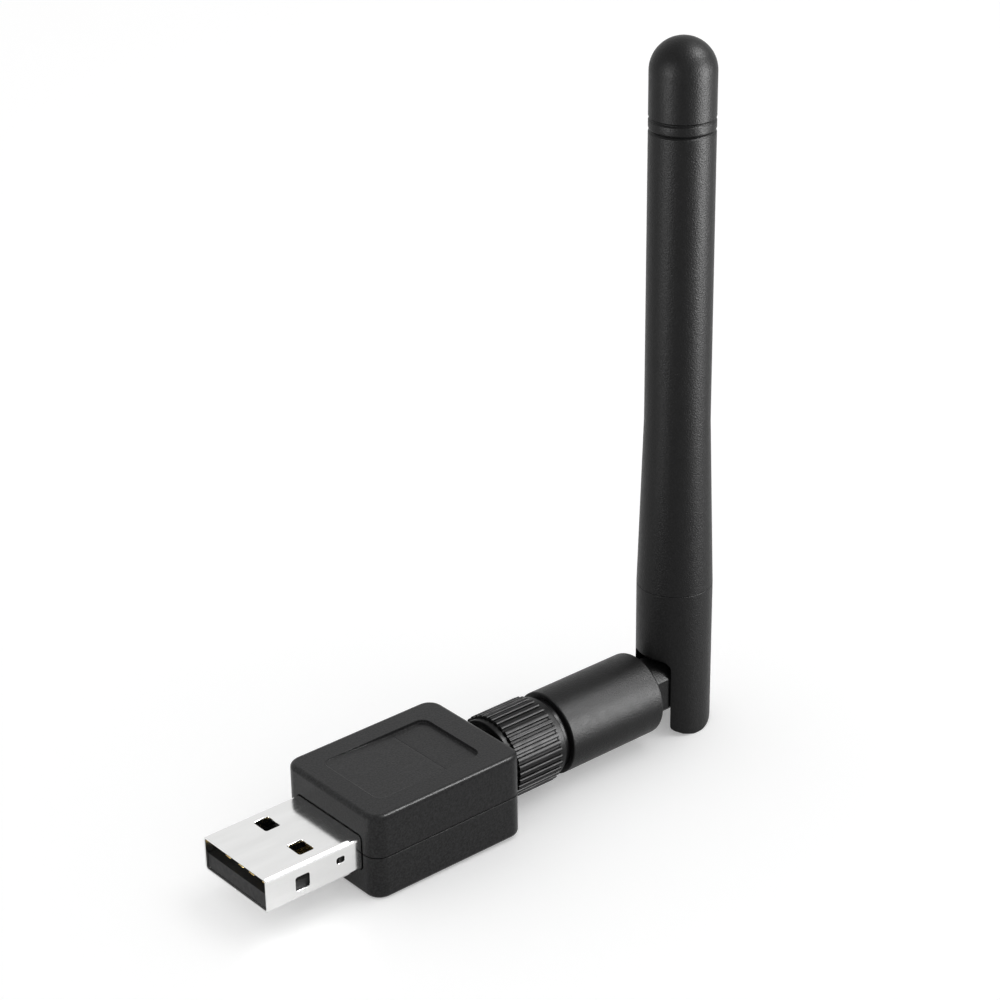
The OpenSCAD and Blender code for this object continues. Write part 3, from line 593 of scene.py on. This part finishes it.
def housing_half(name, face_z, with_recess):
    """One half of the housing, from the parting line to its outer face."""
    up = 1 if face_z > 0 else -1
    loops = [level_loop(WALL, face_z - up * WALL, corner=INNER_CORNER),
             level_loop(WALL, 0, corner=INNER_CORNER),
             level_loop(SEAM_DEPTH, 0), level_loop(SEAM_DEPTH, up * SEAM_HALF),
             level_loop(SEAM_EDGE, up * SEAM_HALF),
             level_loop(0, up * (SEAM_HALF + SEAM_EDGE))]
    for inset, height in arc((EDGE, EDGE), EDGE, 180, 90, 8):
        loops.append(level_loop(inset, face_z - up * (EDGE * 2 - height)))
    loops.append(level_loop(EDGE + FACE_STEP, face_z))
    if with_recess:
        loops += [recess_loop(inset, share) for inset, share in RECESS_WALL]
    half = skin(name, loops, caps=(0, len(loops) - 1))
    plug_bar = skin(
        "plug_port",
        [rounded_loop(lambda u, v, x=x: Vector((x, v, u)) * MM,
                      -PLUG_HALF_HIGH - PORT_GAP, PLUG_HALF_HIGH + PORT_GAP,
                      PLUG_HALF_WIDE + PORT_GAP, PORT_CORNER)
         for x in (-1, WALL + 1)], caps=(0, 1))
    carve(half, plug_bar)
    jack_hole = prism("jack_port", circle(JACK_R + PORT_GAP, 96),
                      "X", house_high.x - WALL - 1, house_high.x + 1)
    return carve(half, jack_hole)


# %% Make both halves
halves = [
    add_piece(housing_half("housing_top", house_high.z, True), housing_black,
              "adapter", "housing_plastic", "upper_housing"),
    add_piece(housing_half("housing_bottom", house_low.z, False), housing_black,
              "adapter", "housing_plastic", "lower_housing")]

# %% [markdown]
# A low strip turns a flat black top white for whoever looks at it from the other
# side. The strips are meant for the round pieces, so they leave out the housing.

# %% Keep the strips off the housing
left_out = bpy.data.collections.new("left_out_by_strips")
for number, half in enumerate(halves):
    left_out.objects.link(half)
    left_out.collection_objects[number].light_linking.link_state = "EXCLUDE"
for strip in strips:
    strip.light_linking.receiver_collection = left_out

# %% [markdown]
# ## The USB plug
#
# The shell is sheet steel 0.3 mm thick, folded to a box with round edges. Two
# windows go through the top and the bottom, where a socket's springs catch, and
# two through each side. Sheared edges of a window are slightly round and bright.
# Under the plug, the sheet's two edges meet in a fine seam.

# %% Fold the shell
plug_low, plug_high = (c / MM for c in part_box("usb_shell"))
SHEET, SHELL_CORNER, LIP, LIP_STEP = 0.3, 0.55, 0.07, 0.02
# A window's place from the tip, its place from the middle, its length and width
LATCH_WINDOW = (6.825, 3.175, 2.05, 2.45)
SIDE_WINDOW = (4.925, -0.1, 1.95, 1.8)
SMALL_WINDOW = (10.225, 0.45, 1.15, 0.8)
WINDOW_CORNER, SEAM_GAP = 0.28, 0.03


def shell_loop(x, inset):
    """The plug's section at x, drawn in by an inset."""
    return rounded_loop(
        lambda u, v: Vector((x, v, u)) * MM, plug_low.z + inset,
        plug_high.z - inset, plug_high.y - inset, SHELL_CORNER - inset)


def window_tool(name, axis, window, reach, side=1):
    """A round-cornered cutter for a window, pushed along Y or Z."""
    place, offset, length, width = window
    half = rounded_side(-length / 2, length / 2, width / 2, WINDOW_CORNER, steps=5)
    outline = half + [(u, -v) for u, v in reversed(half)]
    outline = [(plug_low.x + place + u, side * offset + v) for u, v in outline]
    return prism(name, outline, axis, -reach, reach)


tip = plug_low.x
shell = skin("plug_shell", [
    shell_loop(tip + LIP, 0), shell_loop(tip + LIP_STEP, LIP_STEP),
    shell_loop(tip, LIP), shell_loop(tip, SHEET - LIP),
    shell_loop(tip + LIP_STEP, SHEET - LIP_STEP), shell_loop(tip + LIP, SHEET),
    shell_loop(plug_high.x, SHEET), shell_loop(plug_high.x, 0)], around=True)
for side in (-1, 1):
    carve(shell, window_tool("latch_window", "Z", LATCH_WINDOW, 4, side))
carve(shell, window_tool("side_window", "Y", SIDE_WINDOW, 8))
carve(shell, window_tool("small_window", "Y", SMALL_WINDOW, 8))
carve(shell, prism("seam", [(-14, -SEAM_GAP), (5, -SEAM_GAP), (5, SEAM_GAP),
                            (-14, SEAM_GAP)], "Z", -2.4, -1.9))
break_edges(shell, 0.13, over_degrees=60, segments=3)
add_piece(shell, bright_nickel, "adapter", "plug_steel", "usb_shell")


# %% [markdown]
# ## The tongue
#
# A black plastic tongue fills the lower half of the plug's mouth and carries the
# four contacts. The frame's own solid is right, apart from its edges. A copy of
# it is welded, its flat faces are joined up again, and its edges are broken.

# %% Break the edges of a copy
def softened_copy(node, name, width_mm, segments=2):
    """A welded copy of a frame solid with small rounds on its edges."""
    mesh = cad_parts[node].data.copy()
    mesh.name = name
    work = bmesh.new()
    work.from_mesh(mesh)
    bmesh.ops.remove_doubles(work, verts=work.verts, dist=2e-6)
    bmesh.ops.dissolve_limit(work, angle_limit=math.radians(1), verts=work.verts,
                             edges=work.edges)
    bmesh.ops.recalc_face_normals(work, faces=work.faces)
    work.to_mesh(mesh)
    work.free()
    copy = bpy.data.objects.new(name, mesh)
    bpy.context.scene.collection.objects.link(copy)
    return break_edges(copy, width_mm, segments=segments)


add_piece(softened_copy("usb_tongue", "plug_tongue", 0.08), tongue_black,
          "adapter", "tongue_plastic", "usb_tongue")
for wire in ("power", "data_minus", "data_plus", "ground"):
    add_piece(softened_copy("usb_contact_" + wire, "contact_" + wire, 0.06),
              contact_gold, "adapter", "contact_gold", "usb_contact_" + wire)

# %% [markdown]
# ## The antenna jack
#
# The jack is a brass tube with a fine right-handed thread, soldered to the board
# by a square flange and four legs. A thread follows a rule, so Geometry Nodes cut
# it: the plain turned tube has many rings, and a Set Position node draws each
# point in by how far it lies from the thread's crest.

# %% The tube that the thread is cut in
jack_low, jack_high = (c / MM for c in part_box("jack_body"))
THREAD_PITCH, THREAD_DEPTH, THREAD_GAP = 0.7056, 0.30, 0.35
LEAD_IN, LEAD_DROP = 0.25, 0.22
JACK_BORE, MOUTH_R, MOUTH_DEPTH, LEG_LENGTH = 2.05, 2.3, 1.9, 3.0
RINGS = 110
thread_start, jack_face = house_high.x + THREAD_GAP, jack_high.x
flange_front, mouth_floor = jack_low.x + LEG_LENGTH, jack_face - MOUTH_DEPTH
outer = [(JACK_R, thread_start + (jack_face - LEAD_IN - thread_start) * i / RINGS)
         for i in range(RINGS + 1)]
jack_tube = turned(
    "jack_thread",
    [(JACK_BORE, flange_front), (JACK_R, flange_front), (JACK_R, thread_start - 0.1)]
    + outer
    + [(JACK_R - LEAD_DROP, jack_face), (MOUTH_R, jack_face), (MOUTH_R, mouth_floor),
       (JACK_BORE, mouth_floor)], steps=96)


# %% Node tools
def node_group(name, inputs):
    """A Geometry Nodes tree with a mesh in and out, and named sizes."""
    tree = bpy.data.node_groups.new(name, "GeometryNodeTree")
    face = tree.interface
    face.new_socket("Geometry", in_out="INPUT", socket_type="NodeSocketGeometry")
    for title, kind in inputs:
        face.new_socket(title, in_out="INPUT", socket_type="NodeSocket" + kind)
    face.new_socket("Geometry", in_out="OUTPUT", socket_type="NodeSocketGeometry")
    return tree, tree.nodes.new("NodeGroupInput"), tree.nodes.new("NodeGroupOutput")


def sum_of(tree, operation, a, b=None, c=None):
    """One Math node; a number or a socket may stand for each of its inputs."""
    node = tree.nodes.new("ShaderNodeMath")
    node.operation = operation
    for slot_number, value in enumerate((a, b, c)):
        if value is None:
            continue
        if isinstance(value, (int, float)):
            node.inputs[slot_number].default_value = value
        else:
            tree.links.new(value, node.inputs[slot_number])
    return node.outputs[0]


def run_nodes(piece, tree, values):
    """Run a tree on a piece with its named inputs, and keep the plain mesh."""
    modifier = piece.modifiers.new(tree.name, "NODES")
    modifier.node_group = tree
    for item in tree.interface.items_tree:
        if item.in_out == "INPUT" and item.name in values:
            modifier[item.identifier] = values[item.name]
    return settle(piece)


# %% The tree that cuts the thread
def thread_tree():
    """Draws points of a tube in, along a right-handed helix about X."""
    tree, given, out = node_group("cut_thread", [
        ("Pitch", "Float"), ("Depth", "Float"), ("Radius", "Float"),
        ("Start", "Float"), ("End", "Float"), ("Finish", "Material")])
    spot = tree.nodes.new("GeometryNodeInputPosition")
    parts = tree.nodes.new("ShaderNodeSeparateXYZ")
    tree.links.new(spot.outputs[0], parts.inputs[0])
    x, y, z = parts.outputs
    angle = sum_of(tree, "ARCTAN2", z, y)
    turns = sum_of(tree, "DIVIDE", angle, 2 * math.pi)
    along = sum_of(tree, "DIVIDE", x, given.outputs["Pitch"])
    phase = sum_of(tree, "SUBTRACT", along, turns)
    wave = sum_of(tree, "PINGPONG", phase, 0.5)
    flank = sum_of(tree, "MULTIPLY", wave, 2.0)
    near_start = sum_of(tree, "DIVIDE", sum_of(
        tree, "SUBTRACT", x, given.outputs["Start"]), given.outputs["Pitch"])
    near_end = sum_of(tree, "DIVIDE", sum_of(
        tree, "SUBTRACT", given.outputs["End"], x), given.outputs["Pitch"])
    run_in = sum_of(tree, "MINIMUM", sum_of(tree, "MINIMUM", near_start, near_end), 1.0)
    depth = sum_of(tree, "MULTIPLY", sum_of(tree, "MAXIMUM", run_in, 0.0),
                   sum_of(tree, "MULTIPLY", flank, given.outputs["Depth"]))
    radius = sum_of(tree, "SQRT", sum_of(
        tree, "ADD", sum_of(tree, "MULTIPLY", y, y), sum_of(tree, "MULTIPLY", z, z)))
    share = sum_of(tree, "DIVIDE", depth, radius)
    offset = tree.nodes.new("ShaderNodeCombineXYZ")
    for name, part in (("Y", y), ("Z", z)):
        tree.links.new(sum_of(tree, "MULTIPLY", sum_of(
            tree, "MULTIPLY", part, share), -1.0), offset.inputs[name])
    on_wall = sum_of(tree, "GREATER_THAN", radius, sum_of(
        tree, "SUBTRACT", given.outputs["Radius"], 0.02 * MM))
    move = tree.nodes.new("GeometryNodeSetPosition")
    tree.links.new(given.outputs["Geometry"], move.inputs["Geometry"])
    tree.links.new(on_wall, move.inputs["Selection"])
    tree.links.new(offset.outputs[0], move.inputs["Offset"])
    paint = tree.nodes.new("GeometryNodeSetMaterial")
    tree.links.new(move.outputs[0], paint.inputs["Geometry"])
    tree.links.new(given.outputs["Finish"], paint.inputs["Material"])
    tree.links.new(paint.outputs[0], out.inputs["Geometry"])
    return tree


run_nodes(jack_tube, thread_tree(), {
    "Pitch": THREAD_PITCH * MM, "Depth": THREAD_DEPTH * MM, "Radius": JACK_R * MM,
    "Start": thread_start * MM, "End": (jack_face - LEAD_IN) * MM,
    "Finish": black_plating})
print("thread turns:", round((jack_face - thread_start) / THREAD_PITCH, 1))


# %% Flange and legs
def joined(piece, *others):
    """Others' closed shells added to a piece's mesh, as one object."""
    work = bmesh.new()
    work.from_mesh(piece.data)
    for other in others:
        work.from_mesh(other.data)
        bpy.data.objects.remove(other)
    work.to_mesh(piece.data)
    work.free()
    return piece


def soft_box(name, low, high, width_mm=0.08):
    """A block between two corners, in mm, with its edges broken."""
    outline = [(low[0], low[1]), (high[0], low[1]), (high[0], high[1]),
               (low[0], high[1])]
    return break_edges(prism(name, outline, "Z", low[2], high[2]), width_mm)


LEG_OUT, LEG_WIDTH, LEG_FEET = 3.05, 0.9, (-0.5, -2.4)
FLANGE_HALF, FLANGE_THICK = 3.5, 2
legs = [soft_box("leg", (jack_low.x, s * LEG_OUT - LEG_WIDTH / 2, z),
                 (flange_front + 0.5, s * LEG_OUT + LEG_WIDTH / 2, z + LEG_WIDTH))
        for s in (-1, 1) for z in LEG_FEET]
flange = soft_box("flange", (flange_front, -FLANGE_HALF, -FLANGE_HALF),
                  (flange_front + FLANGE_THICK, FLANGE_HALF, FLANGE_HALF))
add_piece(joined(jack_tube, flange, *legs), black_plating, "adapter",
          "black_plating", "jack_body", crease=40)

# %% [markdown]
# ## The antenna nut
#
# The nut is turned with the fingers. Its grip has 36 straight ribs with rounded
# ridges, a plain lip towards the housing and a plain collar towards the barrel.
# The body is turned, and a Geometry Nodes tree sets the ribs round it: one rib is
# a rounded bar whose ends shrink into the body, and a circle of points carries
# its copies.

# %% Turn the body of the grip
grip_low, grip_high = (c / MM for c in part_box("nut_grip"))
NUT_R, RIB_DEPTH, COLLAR_R, CORE_R, GRIP_BORE = 5.45, 0.33, 5.05, 4.12, 3.45
RIB_COUNT, RIB_WIDTH, RIB_BAR, GROOVE_DROP = 36, 0.62, 0.42, 0.12
RIBS_FRONT, RIBS_REAR = grip_low.x + 0.8, grip_high.x - 0.95
CORE_REAR = grip_high.x - 0.5
grip = turned("nut_grip_ribbed", soften([
    (CORE_R, grip_low.x), (COLLAR_R, grip_low.x), (COLLAR_R, RIBS_FRONT - 0.06),
    (COLLAR_R - GROOVE_DROP, RIBS_FRONT - 0.02),
    (COLLAR_R - GROOVE_DROP, RIBS_FRONT + 0.06),
    (NUT_R - RIB_DEPTH, RIBS_FRONT + 0.08), (NUT_R - RIB_DEPTH, RIBS_REAR - 0.2),
    (COLLAR_R, RIBS_REAR), (COLLAR_R, grip_high.x), (GRIP_BORE, grip_high.x),
    (GRIP_BORE, CORE_REAR), (CORE_R, CORE_REAR)], 0.12), steps=144)


# %% The tree that sets the ribs
BAR_POINTS, BAR_FILLET = 17, 0.3        # the fillet is a share of the width
END_SIZE, END_GROWTH = 0.72, 6.0        # the bar's size at its ends, and how it grows


def rib_tree():
    """Rounded ribs set evenly round X, joined to the turned body."""
    tree, given, out = node_group("set_ribs", [
        ("Count", "Int"), ("Radius", "Float"), ("Width", "Float"),
        ("Depth", "Float"), ("Start", "Float"), ("End", "Float"),
        ("Finish", "Material")])
    new, link = tree.nodes.new, tree.links.new
    line = new("GeometryNodeCurvePrimitiveLine")
    for title, end in (("Start", "Start"), ("End", "End")):
        point = new("ShaderNodeCombineXYZ")
        link(given.outputs[title], point.inputs["X"])
        link(point.outputs[0], line.inputs[end])
    points = new("GeometryNodeResampleCurve")
    points.inputs["Count"].default_value = BAR_POINTS
    link(line.outputs[0], points.inputs["Curve"])
    # The bar keeps its size along most of its length, and shrinks at both ends
    where = new("GeometryNodeSplineParameter").outputs["Factor"]
    from_end = sum_of(tree, "MINIMUM", where, sum_of(tree, "SUBTRACT", 1.0, where))
    full = sum_of(tree, "MINIMUM", sum_of(
        tree, "MULTIPLY_ADD", from_end, END_GROWTH, END_SIZE), 1.0)
    sized = new("GeometryNodeSetCurveRadius")
    link(points.outputs[0], sized.inputs["Curve"])
    link(full, sized.inputs["Radius"])
    upright = new("GeometryNodeSetCurveNormal")
    upright.mode = "Z_UP"
    link(sized.outputs[0], upright.inputs["Curve"])
    section = new("GeometryNodeCurvePrimitiveQuadrilateral")
    link(given.outputs["Width"], section.inputs["Width"])
    link(sum_of(tree, "MULTIPLY", given.outputs["Depth"], 2.0),
         section.inputs["Height"])
    rounded = new("GeometryNodeFilletCurve")
    rounded.mode = "POLY"
    rounded.inputs["Count"].default_value = 3
    link(sum_of(tree, "MULTIPLY", given.outputs["Width"], BAR_FILLET),
         rounded.inputs["Radius"])
    link(section.outputs[0], rounded.inputs["Curve"])
    rib = new("GeometryNodeCurveToMesh")
    rib.inputs["Fill Caps"].default_value = True
    link(upright.outputs[0], rib.inputs["Curve"])
    link(rounded.outputs[0], rib.inputs["Profile Curve"])
    # Move one rib out from the axis, then turn a copy to each place
    lifted = new("GeometryNodeTransform")
    lift = new("ShaderNodeCombineXYZ")
    link(sum_of(tree, "SUBTRACT", given.outputs["Radius"], given.outputs["Depth"]),
         lift.inputs["Z"])
    link(rib.outputs[0], lifted.inputs["Geometry"])
    link(lift.outputs[0], lifted.inputs["Translation"])
    spots = new("GeometryNodeMeshLine")
    link(given.outputs["Count"], spots.inputs["Count"])
    spots.inputs["Offset"].default_value = (0, 0, 0)
    copies = new("GeometryNodeInstanceOnPoints")
    link(spots.outputs[0], copies.inputs["Points"])
    link(lifted.outputs[0], copies.inputs["Instance"])
    index = new("GeometryNodeInputIndex").outputs[0]
    turn = sum_of(tree, "MULTIPLY", sum_of(
        tree, "DIVIDE", index, given.outputs["Count"]), 2 * math.pi)
    spin = new("ShaderNodeCombineXYZ")
    link(turn, spin.inputs["X"])
    link(spin.outputs[0], copies.inputs["Rotation"])
    real = new("GeometryNodeRealizeInstances")
    link(copies.outputs[0], real.inputs[0])
    both = new("GeometryNodeJoinGeometry")
    link(given.outputs["Geometry"], both.inputs[0])
    link(real.outputs[0], both.inputs[0])
    paint = new("GeometryNodeSetMaterial")
    link(both.outputs[0], paint.inputs["Geometry"])
    link(given.outputs["Finish"], paint.inputs["Material"])
    link(paint.outputs[0], out.inputs["Geometry"])
    return tree


run_nodes(grip, rib_tree(), {
    "Count": RIB_COUNT, "Radius": NUT_R * MM, "Width": RIB_WIDTH * MM,
    "Depth": RIB_BAR * MM,
    "Start": RIBS_FRONT * MM, "End": (RIBS_REAR - 0.02) * MM, "Finish": nut_black})
add_piece(grip, nut_black, "nut", "nut_plastic", "nut_grip", crease=40)

# %% [markdown]
# ## Barrel and bush
#
# The barrel turns on a bush that shows as a dark neck behind the nut. Both are
# turned. At its far end the barrel carries a knuckle, which is a dome cut flat on
# both sides, with a slot for the cable.

# %% Turn the bush and the barrel
bush_low, bush_high = (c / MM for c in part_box("swivel_bush"))
barrel_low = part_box("barrel_shell")[0] / MM
BARREL_R, BARREL_END, KNUCKLE_R, KNUCKLE_HALF = 5.25, 47.5, 3.55, 2.95
BUSH_BORE, NECK_R, BUSH_R, CABLE_BORE = 2.6, 4.55, 3.98, 0.85
CAVITY_R, CAVITY_END = 4.0, 42.5
add_piece(turned("swivel_neck", soften([
    (BUSH_BORE, bush_low.x), (NECK_R, bush_low.x), (NECK_R, barrel_low.x),
    (BUSH_R, barrel_low.x), (BUSH_R, bush_high.x), (BUSH_BORE, bush_high.x)], 0.08)),
    bush_black, "barrel", "antenna_plastic", "swivel_bush")
barrel = turned("swivel_barrel", soften([
    (CABLE_BORE, CAVITY_END), (CAVITY_R, CAVITY_END), (CAVITY_R, barrel_low.x),
    (BARREL_R, barrel_low.x),
    (BARREL_R, BARREL_END), (CABLE_BORE, BARREL_END)],
    [0, 0, 0.1, 0.18, 0.32, 0], steps=5), steps=192)

# %% Cut the knuckle
SLOT_HALF, SLOT_FLOOR, PIN_R = 0.95, 50.95, 1.15
knuckle = turned("knuckle", [(0, BARREL_END - 1), (KNUCKLE_R, BARREL_END - 1)]
                 + arc((0, PIN_X), KNUCKLE_R, 0, 90, 24), around=False)
carve(knuckle, prism("flats", [(40, -KNUCKLE_HALF), (60, -KNUCKLE_HALF),
                               (60, KNUCKLE_HALF), (40, KNUCKLE_HALF)], "Z", -8, 8),
      "INTERSECT")
carve(knuckle, prism("cable_slot", [(SLOT_FLOOR, -SLOT_HALF), (60, -SLOT_HALF),
                                    (60, SLOT_HALF), (SLOT_FLOOR, SLOT_HALF)],
                     "Z", -SLOT_HALF, 8))
break_edges(knuckle, 0.16, over_degrees=40, segments=3)
carve(knuckle, prism("cable_bore", circle(CABLE_BORE, 32), "X", 40, 51.5))
carve(knuckle, prism("pin_seat", circle(PIN_R, 48, (PIN_X, 0)), "Y", -6, 6))
add_piece(joined(barrel, knuckle), antenna_black, "barrel", "antenna_plastic",
          "barrel_shell")

# %% [markdown]
# ## The whip
#
# The whip is three mouldings on one axis. The fork holds the knuckle between two
# ears, the sleeve tapers up from it, and a cap with a round end and two fine
# grooves closes the top.

# %% The fork
FOOT_R, SEAM, EAR_INNER, SLOT_TOP, SLOT_CORNER = 4.7, 13.5, 3.2, 4.45, 1.2
SPIGOT, SPIGOT_RISE, SLOT_BACK, EAR_ROUND = 3.35, 5, 3.8, 1.4
SOCKET_R, SOCKET_REACH = 1.2, 4.2
on_mast = {"axis": "Z", "place": (PIN_X, 0, 0)}
fork = turned("antenna_fork", soften(
    [(0, -8), (FOOT_R, -8), (FOOT_R, SEAM), (SPIGOT, SEAM),
     (SPIGOT, SEAM + SPIGOT_RISE), (0, SEAM + SPIGOT_RISE)],
    [0, 0, 0.12, 0, 0.3, 0], closed=False), steps=192, around=False, **on_mast)
# The foot is an arc about the pin, and the front corner of each ear is round
EAR_FRONT = math.sqrt(FOOT_R ** 2 - EAR_INNER ** 2)
corner_turn = 180 + math.degrees(math.acos(EAR_FRONT / FOOT_REACH))
foot = arc((PIN_X, 0), FOOT_REACH, corner_turn, 360, 9)
foot = soften([(PIN_X - EAR_FRONT, -1)] + foot, [0, EAR_ROUND] + [0] * 9,
              closed=False, steps=8)
carve(fork, prism("foot_cut", [(PIN_X - 9, -1)] + foot + [
    (PIN_X + 9, 0), (PIN_X + 9, 30), (PIN_X - 9, 30)], "Y", -9, 9), "INTERSECT")
back = math.degrees(math.asin(EAR_INNER / SLOT_BACK))
slot_plan = ([(PIN_X - 9, -EAR_INNER)]
             + arc((PIN_X, 0), SLOT_BACK, -back, back, 20)
             + [(PIN_X - 9, EAR_INNER)])
arch = arc((EAR_INNER - SLOT_CORNER, SLOT_TOP - SLOT_CORNER), SLOT_CORNER, 0, 90, 10)
arch = ([(EAR_INNER, -9)] + arch + [(-u, v) for u, v in reversed(arch)]
        + [(-EAR_INNER, -9)])
slot = prism("slot", slot_plan, "Z", -9, 9)
carve(slot, prism("arch", arch, "X", PIN_X - 10, PIN_X + 10), "INTERSECT")
carve(fork, slot)
break_edges(fork, 0.35, over_degrees=45, segments=3)
carve(fork, turned("cable_bore", [(0, 3), (CABLE_BORE, 3), (CABLE_BORE, 20), (0, 20)],
                   steps=32, around=False, **on_mast))
carve(fork, prism("pin_sockets", circle(SOCKET_R, 48, (PIN_X, 0)), "Y",
                  -SOCKET_REACH, SOCKET_REACH))
add_piece(fork, antenna_black, "mast", "antenna_plastic", "mast_fork")

# %% The sleeve and the cap
MAST_R, CAP_R, TAPER_TOP, BORE, SOCKET = 4.0, 3.95, 35.5, 2.9, 3.4
SOCKET_RISE, PLUG_R, PLUG_DROP = 5.2, 2.85, 5
sleeve_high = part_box("mast_sleeve")[1].z / MM
cap_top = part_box("mast_cap")[1].z / MM
GROOVE, GROOVE_DEPTH, GROOVE_RISE = 0.25, 0.25, 1.4
sleeve = turned("antenna_sleeve", soften([
    (SOCKET, SEAM), (FOOT_R, SEAM), (MAST_R, TAPER_TOP), (CAP_R, sleeve_high - GROOVE),
    (CAP_R - GROOVE_DEPTH, sleeve_high), (BORE, sleeve_high),
    (BORE, SEAM + SOCKET_RISE), (SOCKET, SEAM + SOCKET_RISE)],
    [0, 0.12, 6.0, 0.1, 0, 0, 0, 0], steps=8),
    steps=192, **on_mast)
add_piece(sleeve, antenna_black, "mast", "antenna_plastic", "mast_sleeve")
second = sleeve_high + GROOVE_RISE
cap = turned("antenna_cap", soften([
    (0, sleeve_high - PLUG_DROP), (PLUG_R, sleeve_high - PLUG_DROP),
    (PLUG_R, sleeve_high),
    (CAP_R - GROOVE_DEPTH, sleeve_high), (CAP_R, sleeve_high + GROOVE),
    (CAP_R, second - GROOVE), (CAP_R - GROOVE_DEPTH, second), (CAP_R, second + GROOVE)],
    [0, 0.2, 0, 0, 0.1, 0.1, 0.08, 0.1], closed=False, steps=4)
    + arc((0, cap_top - CAP_R), CAP_R, 0, 90, 40), steps=192, around=False, **on_mast)
add_piece(cap, antenna_black, "mast", "antenna_plastic", "mast_cap")

# %% [markdown]
# ## What stays as the frame has it
#
# The pieces inside, and small turned ones that hardly show, already have their
# true shape. They only need their finish.

# %% Finishes for the frame's own pieces
frame_finishes = {
    board_green: ("circuit_board",),
    chip_black: ("radio_chip", "voltage_regulator"),
    ceramic_tan: ("chip_capacitors",),
    spring_steel: ("crystal", "snap_ring", "hinge_pins"),
    ptfe_white: ("jack_insulator", "plug_insulator"),
    contact_gold: ("jack_pin", "plug_socket", "radiator_wire"),
    turned_brass: ("plug_ferrule", "dipole_sleeve"),
    black_plating: ("nut_core",),
    gasket_rubber: ("plug_gasket",),
    cable_jacket: ("coax_lower", "coax_upper"),
}
for material, nodes in frame_finishes.items():
    for node in nodes:
        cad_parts[node].material_slots[0].material = material
print("kept from the frame:", sum(len(n) for n in frame_finishes.values()))
